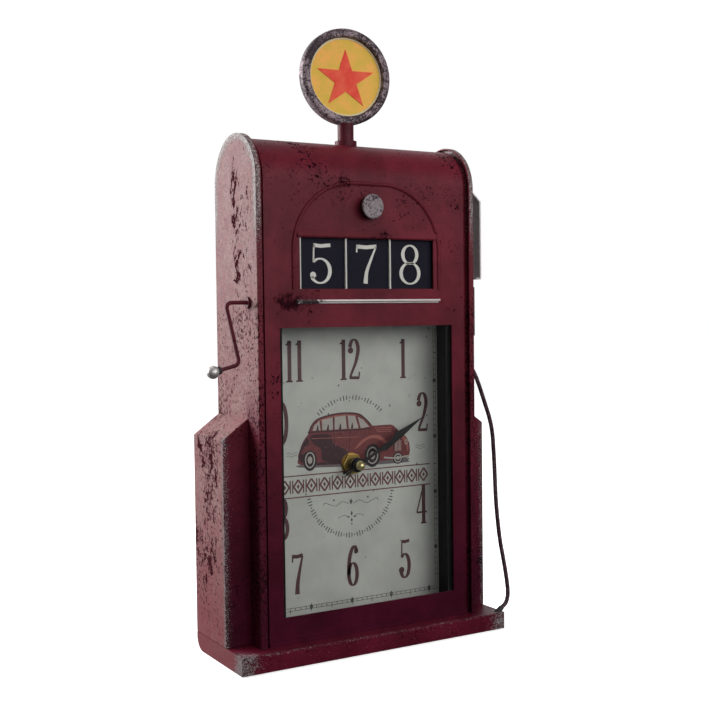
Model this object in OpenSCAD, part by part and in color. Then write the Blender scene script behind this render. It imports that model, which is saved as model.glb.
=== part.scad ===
// Service station advertising clock: a sheet-metal fuel pump case with a lit-globe top,
// a three-card counter, a glazed rectangular dial with a quartz movement, a side crank and a nozzle.
// Frame: X to the right seen from the front, the front faces -Y, Z up, the stand at Z = 0.

/* [Case] */
// Width over the two side panels
body_w = 167; // [160:1:176]
// Depth of the side panels
body_d = 64; // [62:1:68]
// Height of the top of the side panels
body_h = 342; // [336:1:350]
// Thickness of the case sheet
sheet = 1; // [0.8:0.1:1.2]
// Width of the rolled rim of a side panel
rim_w = 4; // [3.5:0.5:5]
// Set-back of the skin from the rims
skin_inset = 3; // [2.5:0.5:3.5]
// Dark channel between the skin and each rim
rim_gap = 2.5; // [2:0.5:3]

/* [Base] */
// Width of the plinth
base_w = 203; // [196:1:210]
// Top of the plinth above the stand
base_top = 12.4; // [11.4:0.2:14]
// How far the plinth stands in front of the panels
base_overhang = 8.5; // [6:0.5:12]
// Radius of the lower back edge of the plinth
base_back_r = 9; // [6:0.5:9.5]

/* [Side pods] */
// Set-back of the pod fronts from the panel fronts
pod_setback = 16; // [12:1:20]
// Height of the outer edge of the pods
pod_h_outer = 145.5; // [140:0.5:150]
// Height of the pods where they meet the panels
pod_h_inner = 158.5; // [155:0.5:165]

/* [Window and dial] */
// Width of the dial window
window_w = 133; // [126:1:134]
// Bottom of the dial window
window_z0 = 30; // [28:1:34]
// Top of the dial window
window_z1 = 216; // [210:1:217]
// Height of the hand axis
dial_z = 121.5; // [118:0.5:125]
// Depth of the dial face behind the panel fronts
dial_depth = 31; // [28:0.5:32]
// Thickness of the glass
glass_t = 2; // [1.6:0.2:2.4]

/* [Counter] */
// Width of the counter opening
counter_w = 103; // [98:1:105]
// Bottom of the counter opening
counter_z0 = 241; // [239:0.5:243]
// Top of the counter opening
counter_z1 = 274; // [272:0.5:275]
// Diameter of the knob in the arch
arch_knob_d = 16.5; // [14:0.5:18]

/* [Hands] */
// Length of the minute hand from its axis
minute_len = 60; // [50:1:64]
// Length of the hour hand from its axis
hour_len = 41; // [34:1:46]
// Minutes past two shown at rest
rest_minutes = 10; // [0:1:59]

/* [Globe] */
// Outer diameter of the globe ring
globe_d = 65; // [60:1:70]
// Total height over the globe
total_h = 418; // [416:0.5:424]
// Depth of the globe ring, front to back
globe_t = 9; // [8:0.5:12]
// Turn of the globe on its post, towards the left
globe_turn = 6.5; // [0:0.5:10]

/* [Crank] */
// Length of the crank arm
crank_arm = 44; // [36:0.5:46]
// Diameter of the crank wire
crank_wire = 2.6; // [1.8:0.2:2.8]
// Diameter of the crank ball
crank_ball_d = 8; // [7:0.5:9]

/* [Hose] */
// Diameter of the hose
hose_d = 3; // [2.6:0.2:3.4]

/* [Hidden] */
$fn = 48;

// Case
half_w = body_w / 2;
half_d = body_d / 2;
arch_z = body_h - half_d;
skin_y = -half_d + skin_inset;
inner_y = skin_y + sheet;
skin_half = half_w - rim_w - rim_gap;
rim_t = 1.2;
flange_deep = 4;
ring_inset = skin_inset + 2;
back_y = half_d - ring_inset;
back_top = arch_z - 12;
ring_x = half_w - rim_w / 2 - 1.7;
back_screw_z = [30, 150, 280];

// Base
pad_t = 0.8;
base_half = base_w / 2;
base_y0 = -half_d - base_overhang;
base_wall = 1.2;
boss_x = base_half - 15;
boss_y = [base_y0 + 12, half_d - 22];
foot_flange = 11;
foot_x = half_w - 6.5;

// Counter
card_n = 3;
card_w = counter_w / card_n;
tray_y = inner_y + 3;
divider_w = 1.3;
arch_half = counter_w / 2 + 6;
arch_r = 46;
arch_top = arch_z + 1.7;
bead_w = 2.8;
bead_h = 1.2;
knob_z = arch_z - 15;

// Dial
dial_y = -half_d + dial_depth;
glass_y = inner_y + glass_t;
box_half = 73;
box_z0 = 21;
box_z1 = 223;
board_t = 3;
paper_t = 0.3;
fit = 0.05;
thread_d = 8;
nut_t = 3;
nut_y = dial_y - paper_t - 1;

// Movement
move_size = 56;
move_y0 = dial_y + board_t + 1;
move_t = 16;
move_y1 = move_y0 + move_t;
move_wall = 1.2;
cover_y = move_y1 - move_wall;
bush_y = dial_y - 7.5;
pipe_d = 5;
arbor_d = 3.4;
gear_m = 0.5;
setting_z = dial_z + 20 * gear_m;
battery_d = 14;
battery_z = dial_z - 19.5;
battery_y = move_y0 + move_wall + battery_d / 2 + 0.2;
battery_x0 = -24.6;
battery_len = 49.4;
hour_y = dial_y - 9.6;
minute_y = hour_y - 2.6;
minute_angle = 6 * rest_minutes;
hour_angle = 60 + rest_minutes / 2;

// Globe
globe_r = globe_d / 2;
globe_z = total_h - globe_r;
disc_r = 27;
disc_t = 0.8;
disc_y = 0.95;
skin_top = body_h - skin_inset;
post_d = 11;
post_top = globe_z - globe_r + 1.1;

// Crank
crank_y = -19;
crank_z = 232.5;
crank_x = half_w + 15.9;
crank_lean = 27.5;
bend_r = 4.5;
handle_len = 14.5;
handle_d = crank_wire - 0.2;
handle_tilt = 14;

// Nozzle
nozzle_x = half_w + 7.7;
nozzle_y = -8;
fork_z = 248;
holster_x = half_w + 15.5;
holster_y = [-20, 4];
handle_z = 200;
trigger_z = 237;
holster_screw_z = [fork_z + 12, fork_z + 52];

// Gland tilt and foot, then the route of the hose from the nozzle swivel down to it
gland_tilt = 55;
gland_foot = [97.8, -37.6, base_top];
gland_len = 4.4;
gland_end = gland_foot + gland_len * [sin(gland_tilt), 0, cos(gland_tilt)];
HOSE = [
    [91.2, -8, 200], [91.5, -8, 195], [93.5, -8, 190], [97, -8.5, 185.5], [100, -9, 180.5],
    [102.5, -10, 174], [105, -11, 166], [107.5, -12, 157.5], [110, -13.5, 148], [111.5, -15, 138],
    [111.5, -16.5, 126], [110.8, -18, 114], [109.8, -20, 102], [109, -22, 88], [108.8, -24, 75],
    [109, -26.5, 60], [109.7, -29, 48], [109.9, -31.2, 39], [109.7, -33.2, 31.5], [109, -35, 25.4],
    [107.2, -36.7, 20.6], [104.8, -37.5, 17.3], gland_end
];

// A 2D shape drawn in X and Z, from y0 back to y1
module slab_y(y0, y1) {
    translate([0, y1, 0]) rotate([90, 0, 0]) linear_extrude(y1 - y0) children();
}

// A 2D shape drawn in Y and Z, from x0 to x1
module slab_x(x0, x1) {
    translate([x0, 0, 0]) rotate([90, 0, 90]) linear_extrude(x1 - x0) children();
}

// A box from its lowest to its highest corner
module block(a, b) {
    translate(a) cube(b - a);
}

// A round bar along Y
module bar_y(x, z, y0, y1, d) {
    translate([x, y1, z]) rotate([90, 0, 0]) cylinder(h = y1 - y0, d = d);
}

// A round bar along X
module bar_x(y, z, x0, x1, d) {
    translate([x0, y, z]) rotate([0, 90, 0]) cylinder(h = x1 - x0, d = d);
}

module mirror_x() {
    children();
    mirror([1, 0, 0]) children();
}

// Side outline of the case, a square foot under a half circle, drawn in Y and Z
module case_outline(inset) {
    r = half_d - inset;
    translate([-r, base_top]) square([2 * r, arch_z - base_top]);
    translate([0, arch_z]) circle(r = r, $fn = 96);
}

// Band that follows the side outline
module case_band(outer, inner) {
    difference() {
        case_outline(outer);
        case_outline(inner);
        translate([-half_d, 0]) square([body_d, base_top]);
    }
}

// Raised bead pressed round the counter: two legs, two rounded shoulders and a flat crown
module arch_bead() {
    r = arch_r - bead_w / 2;
    x = arch_half - arch_r;
    z = arch_top - arch_r;
    // Half-round section: across the bead, then proud of the skin
    section = concat([[bead_w / 2, -0.3]],
        [for (a = [0:30:180]) [bead_w / 2 * cos(a), bead_h * sin(a)]], [[-bead_w / 2, -0.3]]);
    translate([0, skin_y, 0]) mirror_x() {
        translate([x + r, 0, counter_z0]) linear_extrude(z - counter_z0)
            polygon([for (p = section) [p[0], -p[1]]]);
        translate([x, 0, z]) rotate([90, 0, 0]) rotate_extrude(angle = 90, $fn = 96)
            translate([r, 0]) polygon(section);
        slab_x(0, x) translate([0, z + r]) polygon([for (p = section) [-p[1], p[0]]]);
    }
}

// Tooth outline of a flat gear, drawn in X and Z; the first tooth points along angle a0
function gear_points(teeth, a0) = let (
    pitch_r = gear_m * teeth / 2,
    step = 360 / teeth,
    root = pitch_r - 1.2 * gear_m,
    tip = pitch_r + 0.8 * gear_m,
    shape = [[root, -0.26], [tip, -0.1], [tip, 0.1], [root, 0.26]]
) [for (i = [0:teeth - 1], p = shape) let (a = a0 + (i + p[1]) * step) p[0] * [cos(a), sin(a)]];

// ---------------------------------------------------------------- base

// Side outline of the plinth with its lower back edge rounded, drawn in Y and Z
module base_outline(inset) {
    r = base_back_r - inset;
    y0 = base_y0 + inset;
    y1 = half_d - inset;
    z0 = pad_t + inset;
    z1 = base_top - inset;
    translate([y0, z0]) square([y1 - r - y0, z1 - z0]);
    translate([y0, z0 + r]) square([y1 - y0, z1 - z0 - r]);
    intersection() {
        translate([y1 - r, z0 + r]) circle(r = r, $fn = 64);
        translate([y1 - r, z0]) square([r, r]);
    }
}

module foot_holes(d, z0, z1) {
    for (x = [-foot_x, foot_x], y = [-16, 16]) translate([x, y, z0]) cylinder(h = z1 - z0, d = d);
}

module base_plinth() {
    color([0.36, 0.13, 0.16])
    difference() {
        union() {
            difference() {
                slab_x(-base_half, base_half) base_outline(0);
                slab_x(-base_half + base_wall, base_half - base_wall) base_outline(base_wall);
                block([-base_half + base_wall, base_y0 + base_wall, 0],
                      [base_half - base_wall, half_d - base_back_r, 4]);
            }
            for (x = [-boss_x, boss_x], y = boss_y)
                translate([x, y, pad_t + base_wall]) cylinder(h = base_top - pad_t - base_wall - 1, d = 6);
        }
        for (x = [-boss_x, boss_x], y = boss_y) translate([x, y, 0]) cylinder(h = base_top - 3, d = 2.5);
        foot_holes(3.1, base_top - 3, base_top + 1);
    }
}

module base_plate() {
    gap = 0.15;
    color([0.2, 0.2, 0.21])
    difference() {
        block([-base_half + base_wall + gap, base_y0 + base_wall + gap, pad_t],
              [base_half - base_wall - gap, half_d - base_back_r - gap, pad_t + base_wall]);
        for (x = [-boss_x, boss_x], y = boss_y) translate([x, y, 0]) cylinder(h = 5, d = 2.7);
    }
}

module felt_pad() {
    color([0.1, 0.1, 0.1])
    block([-boss_x + 6, base_y0 + 8, 0], [boss_x - 6, half_d - base_back_r - 8, pad_t]);
}

module plate_screws() {
    color([0.7, 0.7, 0.72])
    for (x = [-boss_x, boss_x], y = boss_y) translate([x, y, 0.1]) {
        cylinder(h = pad_t - 0.1, d = 5);
        cylinder(h = 7, d = 2.5);
    }
}

// ---------------------------------------------------------------- case

// Side panel with its rolled rim, the inner ring that carries skin and back, and a foot flange
module side_panel() {
    difference() {
        union() {
            slab_x(half_w - sheet, half_w) case_outline(0);
            slab_x(half_w - rim_w, half_w) case_band(0, rim_t);
            slab_x(skin_half, half_w) case_band(ring_inset, ring_inset + sheet);
            block([half_w - foot_flange, -24, base_top], [half_w, 24, base_top + sheet]);
        }
        block([half_w - 20, -half_d, 0], [half_w + 1, half_d, base_top]);
        foot_holes(2.5, 0, base_top + 3);
        for (z = back_screw_z) bar_y(ring_x, z, back_y - 3, back_y + 1, 2.5);
    }
}

module left_panel() {
    color([0.42, 0.2, 0.22])
    difference() {
        mirror([1, 0, 0]) side_panel();
        bar_x(crank_y, crank_z, -half_w - 1, -half_w + 2, 5);
    }
}

module right_panel() {
    color([0.34, 0.12, 0.15])
    difference() {
        side_panel();
        for (z = holster_screw_z) bar_x(nozzle_y, z, half_w - 2, half_w + 1, 2.5);
    }
}

module panel_screws() {
    color([0.7, 0.7, 0.72]) {
        for (x = [-foot_x, foot_x], y = [-16, 16])
            translate([x, y, base_top - base_wall - 1.6]) {
                cylinder(h = 1.6, d = 4.6);
                cylinder(h = 5.5, d = 2.5);
            }
        for (z = holster_screw_z)
            translate([half_w + 2.8, nozzle_y, z]) rotate([0, -90, 0]) {
                cylinder(h = 1.6, d = 4.6);
                cylinder(h = 5.5, d = 2.5);
            }
    }
}

// One sheet up the front, over the top and a little way down the back
module front_skin() {
    color([0.36, 0.12, 0.15])
    difference() {
        union() {
            slab_x(-skin_half, skin_half) case_band(skin_inset, skin_inset + sheet);
            mirror_x() slab_x(skin_half - sheet, skin_half)
                case_band(skin_inset, skin_inset + flange_deep);
            arch_bead();
            slab_x(-counter_w / 2 - 2, counter_w / 2 + 2) polygon([
                [skin_y + 0.3, counter_z1 + 0.4], [skin_y - 1.4, counter_z1 + 0.4],
                [skin_y - 1.6, counter_z1 + 1.2], [skin_y - 0.2, counter_z1 + 5.5],
                [skin_y + 0.3, counter_z1 + 5.5]
            ]);
            block([-skin_half, skin_y - 1, base_top], [skin_half, skin_y + 0.3, base_top + 3]);
        }
        block([-half_w, 0, 0], [half_w, half_d, back_top]);
        block([-half_w, back_y - 4, 0], [half_w, back_y + sheet, back_top + 8.3]);
        block([-window_w / 2, -half_d, window_z0], [window_w / 2, inner_y + 0.1, window_z1]);
        block([-counter_w / 2, -half_d, counter_z0], [counter_w / 2, inner_y + 0.1, counter_z1]);
        bar_y(0, knob_z, -half_d - 1, inner_y + 1, 4 + 2 * fit);
        translate([0, 0, body_h - 10]) cylinder(h = 20, d = 6.2);
    }
}

module back_cover() {
    z0 = base_top + 0.3;
    color([0.34, 0.12, 0.15])
    difference() {
        block([-half_w + sheet + 0.3, back_y, z0], [half_w - sheet - 0.3, back_y + sheet, back_top + 8]);
        block([-36, 0, dial_z - 34], [36, half_d, dial_z + 34]);
        for (x = [-ring_x, ring_x], z = back_screw_z) bar_y(x, z, 0, half_d, 2.7);
    }
}

module back_screws() {
    color([0.7, 0.7, 0.72])
    for (x = [-ring_x, ring_x], z = back_screw_z)
        translate([x, back_y + sheet + 1.6, z]) rotate([90, 0, 0]) {
            cylinder(h = 1.6, d = 4.2);
            cylinder(h = 5.5, d = 2.5);
        }
}

// Sloped-top pod, open towards the panel that closes it
module pod() {
    y0 = -half_d + pod_setback;
    slope = (pod_h_inner - pod_h_outer) / (base_half - half_w);
    difference() {
        slab_y(y0, half_d) polygon([
            [half_w, base_top], [base_half, base_top], [base_half, pod_h_outer], [half_w, pod_h_inner]
        ]);
        slab_y(y0 + sheet, half_d - sheet) polygon([
            [half_w - 1, base_top - 1], [base_half - sheet, base_top - 1],
            [base_half - sheet, pod_h_outer - sheet], [half_w - 1, pod_h_inner - sheet + slope]
        ]);
    }
}

module left_pod() {
    color([0.4, 0.18, 0.2]) mirror([1, 0, 0]) pod();
}

module right_pod() {
    color([0.3, 0.11, 0.14]) pod();
}

// ---------------------------------------------------------------- counter

module counter_tray() {
    margin = 1.2;
    x = counter_w / 2 + margin;
    color([0.08, 0.08, 0.09])
    difference() {
        block([-x - 1, inner_y, counter_z0 - margin - 1], [x + 1, tray_y + 1, counter_z1 + margin + 1]);
        block([-x, inner_y - 1, counter_z0 - margin], [x, tray_y, counter_z1 + margin]);
        for (sx = [-0.35, 0, 0.35]) bar_y(sx * counter_w, (counter_z0 + counter_z1) / 2, -half_d, 0, 6);
    }
}

module card(i) {
    gap = 0.1;
    x0 = -counter_w / 2 + i * card_w;
    color([0.07, 0.07, 0.08])
    block([x0 + gap, tray_y - 1, counter_z0 - 1], [x0 + card_w - gap, tray_y, counter_z1 + 1]);
}

module card_hundreds() {
    card(0);
}

module card_tens() {
    card(1);
}

module card_units() {
    card(2);
}

module card_dividers() {
    color([0.85, 0.85, 0.83])
    for (i = [0:card_n - 1]) {
        x = -counter_w / 2 + 0.2 + i * (card_w - 0.3);
        block([x, inner_y + 0.2, counter_z0 - 1], [x + divider_w, tray_y - 1, counter_z1 + 1]);
    }
}

// Angle strip under the counter
module counter_ledge() {
    x = counter_w / 2 + 3.5;
    z = counter_z0 - 7;
    color([0.72, 0.71, 0.7])
    difference() {
        block([-x, skin_y - 3.4, z - 2.6], [x, skin_y, z]);
        block([-x - 1, skin_y - 5, z - 3], [x + 1, skin_y - 1.2, z - 1.4]);
    }
}

module arch_knob() {
    y_back = skin_y - 1.3;
    r = arch_knob_d / 2;
    edge = 1.2;
    deep = 5.4;
    color([0.72, 0.71, 0.7]) {
        bar_y(0, knob_z, y_back - 2, inner_y + 5, 4);
        translate([0, y_back, knob_z]) rotate([90, 0, 0]) rotate_extrude($fn = 96)
            polygon(concat([[0, 0], [4, 0], [4, 1], [r - 0.8, 1.2]],
                [for (a = [0:15:90]) [r - edge + edge * cos(a), deep - edge + edge * sin(a)]],
                [[r - 2.6, deep - 0.5], [0, deep]]));
    }
}

module knob_washer() {
    color([0.5, 0.5, 0.52])
    difference() {
        bar_y(0, knob_z, skin_y - 1, skin_y, 9);
        bar_y(0, knob_z, skin_y - 2, skin_y + 1, 4 + 2 * fit);
    }
}

module knob_nut() {
    color([0.6, 0.6, 0.62])
    difference() {
        translate([0, inner_y + 3.2, knob_z]) rotate([90, 0, 0]) cylinder(h = 2.8, d = 8, $fn = 6);
        bar_y(0, knob_z, inner_y - 1, inner_y + 4, 4);
    }
}

// ---------------------------------------------------------------- globe

// Places children with the globe's axis along Y through its centre
module globe_frame() {
    rotate([0, 0, -globe_turn]) translate([0, 0, globe_z]) children();
}

// Rounded rim section with a rebate for the discs, drawn as radius and depth
module ring_section() {
    c = 2.6;
    lip = 1.2;
    r_out = globe_r - c;
    r_in = disc_r + lip - 0.3;
    h = globe_t / 2 - c;
    h_in = globe_t / 2 - lip;
    difference() {
        polygon(concat(
            [for (a = [0:15:90]) [r_out + c * cos(a), h + c * sin(a)]],
            [for (a = [90:30:180]) [r_in + lip * cos(a), h_in + lip * sin(a)]],
            [for (a = [180:30:270]) [r_in + lip * cos(a), -h_in + lip * sin(a)]],
            [for (a = [270:15:360]) [r_out + c * cos(a), -h + c * sin(a)]]
        ));
        translate([disc_r - 1, -disc_y]) square([2.2, 2 * disc_y]);
    }
}

module globe_ring() {
    color([0.33, 0.27, 0.3])
    rotate([0, 0, -globe_turn]) difference() {
        translate([0, 0, globe_z]) rotate([90, 0, 0]) rotate_extrude($fn = 128) ring_section();
        translate([0, 0, body_h]) cylinder(h = post_top - body_h, d = post_d + 0.1);
        translate([0, 0, body_h]) cylinder(h = post_top - body_h + 2, d = 4);
    }
}

module globe_discs() {
    color([0.8, 0.62, 0.25])
    globe_frame() for (y = [-disc_y, disc_y - disc_t]) bar_y(0, 0, y, y + disc_t, 2 * disc_r + 2.2);
}

module globe_bezel() {
    color([0.86, 0.8, 0.66])
    globe_frame() difference() {
        bar_y(0, 0, -disc_y - 0.5, -disc_y, 2 * disc_r - 0.8);
        bar_y(0, 0, -disc_y - 1, -disc_y + 1, 2 * disc_r - 3.2);
    }
}

module globe_star() {
    r_out = 20.7;
    r_in = r_out * sin(18) / sin(54);
    color([0.78, 0.2, 0.14])
    globe_frame() translate([0, 0, -1.9]) slab_y(-disc_y - 0.5, -disc_y) polygon([
        for (i = [0:9]) let (r = i % 2 == 0 ? r_out : r_in, a = 90 + 36 * i) [1.06 * r * cos(a), r * sin(a)]
    ]);
}

module globe_post() {
    color([0.33, 0.27, 0.3])
    rotate([0, 0, -globe_turn]) {
        translate([0, 0, body_h]) cylinder(h = post_top - body_h, d = post_d);
        translate([0, 0, body_h - 14]) cylinder(h = 15, d = 6);
        translate([0, 0, post_top - 1]) cylinder(h = 3, d = 4);
    }
}

// Collar with its underside curved to the top of the skin
module post_collar() {
    color([0.3, 0.15, 0.18])
    difference() {
        translate([0, 0, skin_top - 2]) cylinder(h = body_h - skin_top + 2, d = 15);
        bar_x(0, arch_z, -20, 20, 2 * (half_d - skin_inset));
        translate([0, 0, skin_top - 3]) cylinder(h = 10, d = 6.1);
    }
}

module post_nut() {
    z = arch_z + sqrt(pow(half_d - skin_inset - sheet, 2) - 25) - 5;
    color([0.6, 0.6, 0.62])
    difference() {
        translate([0, 0, z]) cylinder(h = 5, d = 10, $fn = 6);
        translate([0, 0, z - 1]) cylinder(h = 7, d = 6);
    }
}

// ---------------------------------------------------------------- window and dial

module window_glass() {
    color([0.8, 0.88, 0.9, 0.25])
    block([-window_w / 2 - 3.5, inner_y, window_z0 - 4], [window_w / 2 + 3.5, glass_y, window_z1 + 4]);
}

// Black liner: front mask, four walls and a rear stop for the dial board
module dial_box() {
    h = box_half;
    rear = dial_y + board_t;
    color([0.09, 0.09, 0.1])
    difference() {
        union() {
            block([-h - 2, glass_y, box_z0 - 2.4], [h + 2, glass_y + 1, box_z1 + 2.4]);
            block([-h - 1, glass_y, box_z0 - 1], [h + 1, rear + 1, box_z1 + 1]);
        }
        block([-h, glass_y + 1, box_z0], [h, rear, box_z1]);
        block([-window_w / 2 + 3, glass_y - 1, window_z0 - 2],
              [window_w / 2 - 3, glass_y + 2, window_z1 + 2]);
        block([-h + 6, rear - 1, box_z0 + 6], [h - 6, rear + 2, box_z1 - 6]);
    }
}

// Z-shaped clips spot-fixed inside the skin, hooked over the edge of the box mask
module box_clips() {
    middle = (box_z0 + box_z1) / 2;
    reach = (box_z1 - box_z0) / 2 + 2.6;
    hook = 1.4;
    color([0.6, 0.6, 0.62])
    translate([0, 0, middle]) for (x = [-54, -4, 46], s = [0, 1]) mirror([0, 0, s]) {
        block([x, inner_y, reach], [x + 8, inner_y + 0.8, reach + 4.4]);
        block([x, inner_y, reach], [x + 8, glass_y + 1.8, reach + 1.2]);
        block([x, glass_y + 1, reach - hook], [x + 8, glass_y + 1.8, reach + 1.2]);
    }
}

module dial_board() {
    color([0.55, 0.42, 0.3])
    difference() {
        block([-box_half + 0.2, dial_y, box_z0 + 0.2], [box_half - 0.2, dial_y + board_t, box_z1 - 0.2]);
        bar_y(0, dial_z, dial_y - 1, dial_y + board_t + 1, thread_d + 0.2);
    }
}

module dial_paper() {
    color([0.62, 0.6, 0.55])
    difference() {
        block([-box_half + 0.4, dial_y - paper_t, box_z0 + 0.4], [box_half - 0.4, dial_y, box_z1 - 0.4]);
        bar_y(0, dial_z, dial_y - 1, dial_y + 1, thread_d + 0.4);
    }
}

// ---------------------------------------------------------------- movement

module movement_case() {
    h = move_size / 2;
    w = move_wall;
    color([0.12, 0.12, 0.13])
    difference() {
        union() {
            difference() {
                block([-h, move_y0, dial_z - h], [h, cover_y, dial_z + h]);
                block([-h + w, move_y0 + w, dial_z - h + w], [h - w, cover_y + 1, dial_z + h - w]);
            }
            block([-h + w, move_y0, battery_z + battery_d / 2 + 0.6],
                  [h - w, cover_y, battery_z + battery_d / 2 + 1.6]);
            bar_y(0, dial_z, bush_y, move_y0 + w, thread_d);
            bar_y(0, setting_z, move_y0, move_y0 + w, 5);
        }
        bar_y(0, dial_z, bush_y - 1, move_y0 + w + 1, pipe_d + 2 * fit);
        bar_y(0, setting_z, move_y0 + 0.5, move_y0 + 3, 2 + 2 * fit);
    }
}

module movement_cover() {
    h = move_size / 2;
    color([0.14, 0.14, 0.15])
    difference() {
        union() {
            block([-h, cover_y, dial_z - h], [h, move_y1, dial_z + h]);
            bar_y(0, dial_z, move_y0 + 9, cover_y + 0.5, 7);
        }
        block([-h + 2, cover_y - 1, battery_z - battery_d / 2 + 0.6],
              [h - 2, move_y1 + 1, battery_z + battery_d / 2 - 0.6]);
        bar_y(0, dial_z, move_y0 + 8, cover_y + 0.2, arbor_d + 2 * fit);
        bar_y(0, setting_z, cover_y - 1, move_y1 + 1, 2 + 2 * fit);
    }
}

module washer_y(y0, y1, d, bore) {
    difference() {
        bar_y(0, dial_z, y0, y1, d);
        bar_y(0, dial_z, y0 - 1, y1 + 1, bore);
    }
}

module rubber_washer() {
    color([0.08, 0.08, 0.08]) washer_y(dial_y + board_t, move_y0, 20, thread_d);
}

module dial_washer() {
    color([0.72, 0.6, 0.35]) washer_y(nut_y, dial_y - paper_t, 15, thread_d);
}

module dial_nut() {
    color([0.72, 0.6, 0.35])
    difference() {
        translate([0, nut_y, dial_z]) rotate([90, 0, 0]) cylinder(h = nut_t, d = 15.6, $fn = 6);
        bar_y(0, dial_z, nut_y - nut_t - 1, nut_y + 1, thread_d);
    }
}

// Wheel with the pipe that carries the hour hand
module hour_wheel() {
    color([0.85, 0.84, 0.8])
    difference() {
        union() {
            slab_y(move_y0 + 1.6, move_y0 + 2.8)
                translate([0, dial_z]) polygon(gear_points(32, 90 + 360 / 64));
            bar_y(0, dial_z, hour_y - 0.4, move_y0 + 2.8, pipe_d);
        }
        bar_y(0, dial_z, hour_y - 1, move_y0 + 4, arbor_d + 2 * fit);
    }
}

// Blade outline of a hand pointing up: a slim neck that widens to a lance head
module hand_blade(length, head_at, head_w) {
    polygon([
        [-1.1, 0], [-0.8, head_at * 0.8], [-head_w / 2, head_at], [0, length],
        [head_w / 2, head_at], [0.8, head_at * 0.8], [1.1, 0]
    ]);
    translate([-0.7, -12]) square([1.4, 12]);
}

module hand(y, thick, angle, length, head_at, head_w, hub_d, bore) {
    translate([0, 0, dial_z]) rotate([0, angle, 0]) difference() {
        union() {
            slab_y(y, y + thick) hand_blade(length, head_at, head_w);
            bar_y(0, 0, y, y + thick, hub_d);
        }
        bar_y(0, 0, y - 1, y + thick + 1, bore);
    }
}

module hour_hand() {
    color([0.06, 0.06, 0.07]) hand(hour_y, 0.6, hour_angle, hour_len, hour_len * 0.62, 5, 10, pipe_d);
}

// Arbor through the pipe, with the pinion that drives the setting wheel
module minute_arbor() {
    color([0.85, 0.84, 0.8]) {
        bar_y(0, dial_z, minute_y - 1, cover_y - 0.4, arbor_d);
        bar_y(0, dial_z, minute_y - 3, minute_y, 2);
        slab_y(move_y0 + 4.2, move_y0 + 6.6) translate([0, dial_z]) polygon(gear_points(10, 90));
    }
}

module minute_hand() {
    color([0.06, 0.06, 0.07])
    hand(minute_y - 0.2, 0.6, minute_angle, minute_len, minute_len * 0.62, 5.5, 9, arbor_d);
}

module cap_nut() {
    y = minute_y - 1;
    color([0.86, 0.76, 0.45])
    translate([0, y, dial_z]) rotate([90, 0, 0]) difference() {
        rotate_extrude() polygon(concat([[0, 0], [3.3, 0], [3.3, 1.2]],
            [for (a = [0:15:90]) [2.8 * cos(a), 1.6 + 2.8 * sin(a)]]));
        translate([0, 0, -1]) cylinder(h = 3, d = 2);
    }
}

// Arbor of the setting knob with the wheel and pinion between minute and hour
module setting_wheel() {
    color([0.85, 0.84, 0.8]) {
        bar_y(0, setting_z, move_y0 + 0.7, move_y1 + 2, 2);
        slab_y(move_y0 + 4.8, move_y0 + 6) translate([0, setting_z]) polygon(gear_points(30, 270 + 6));
        slab_y(move_y0 + 1.5, move_y0 + 4) translate([0, setting_z]) polygon(gear_points(8, 270));
    }
}

module setting_knob() {
    y = move_y1 + 0.4;
    color([0.12, 0.12, 0.13])
    difference() {
        union() {
            bar_y(0, setting_z, y, y + 4.5, 13);
            for (a = [0:20:340]) translate([6.4 * cos(a), 0, setting_z + 6.4 * sin(a)])
                bar_y(0, 0, y, y + 4.5, 1);
        }
        bar_y(0, setting_z, y - 1, move_y1 + 2, 2);
    }
}

module drive_module() {
    color([0.2, 0.2, 0.22])
    block([11, move_y0 + move_wall, dial_z - 9], [26, cover_y - 0.6, dial_z + 26]);
}

module circuit_board() {
    color([0.1, 0.35, 0.2])
    block([-26.4, move_y0 + move_wall, dial_z - 9], [-11, move_y0 + move_wall + 1.4, dial_z + 26]);
}

module coil() {
    y = move_y0 + move_wall + 1.4 + 4.4;
    x = -18.7;
    color([0.72, 0.4, 0.2]) {
        translate([x, y, dial_z - 4]) cylinder(h = 22, d = 7.2);
        for (z = [dial_z - 5, dial_z + 18]) translate([x, y, z]) cylinder(h = 1.2, d = 8.8);
    }
}

module battery() {
    color([0.25, 0.25, 0.27]) {
        bar_x(battery_y, battery_z, battery_x0, battery_x0 + battery_len, battery_d);
        bar_x(battery_y, battery_z, battery_x0 + battery_len, battery_x0 + battery_len + 1.2, 5.4);
    }
}

module battery_contacts() {
    x_in = move_size / 2 - move_wall;
    z0 = battery_z - 5;
    color([0.75, 0.75, 0.72]) {
        block([battery_x0 + battery_len + 1.2, battery_y - 4, z0], [x_in, battery_y + 4, z0 + 10]);
        block([-x_in, battery_y - 4, z0], [-x_in + 0.6, battery_y + 4, z0 + 10]);
        bar_x(battery_y, battery_z, -x_in, battery_x0, 6);
    }
}

// ---------------------------------------------------------------- crank

// Bend in X and Z about the origin, from angle a0 counter-clockwise
module wire_bend(a0, turn) {
    rotate([90, 0, 0]) rotate([0, 0, a0])
        rotate_extrude(angle = turn) translate([bend_r, 0]) circle(d = crank_wire);
}

module crank_frame() {
    translate([0, crank_y, crank_z]) rotate([-crank_lean, 0, 0]) children();
}

// Children run along -X from the end of the lower bend
module handle_frame() {
    crank_frame() translate([-crank_x - bend_r, 0, bend_r - crank_arm])
        rotate([0, -handle_tilt, 0]) translate([0, 0, -bend_r]) children();
}

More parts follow.
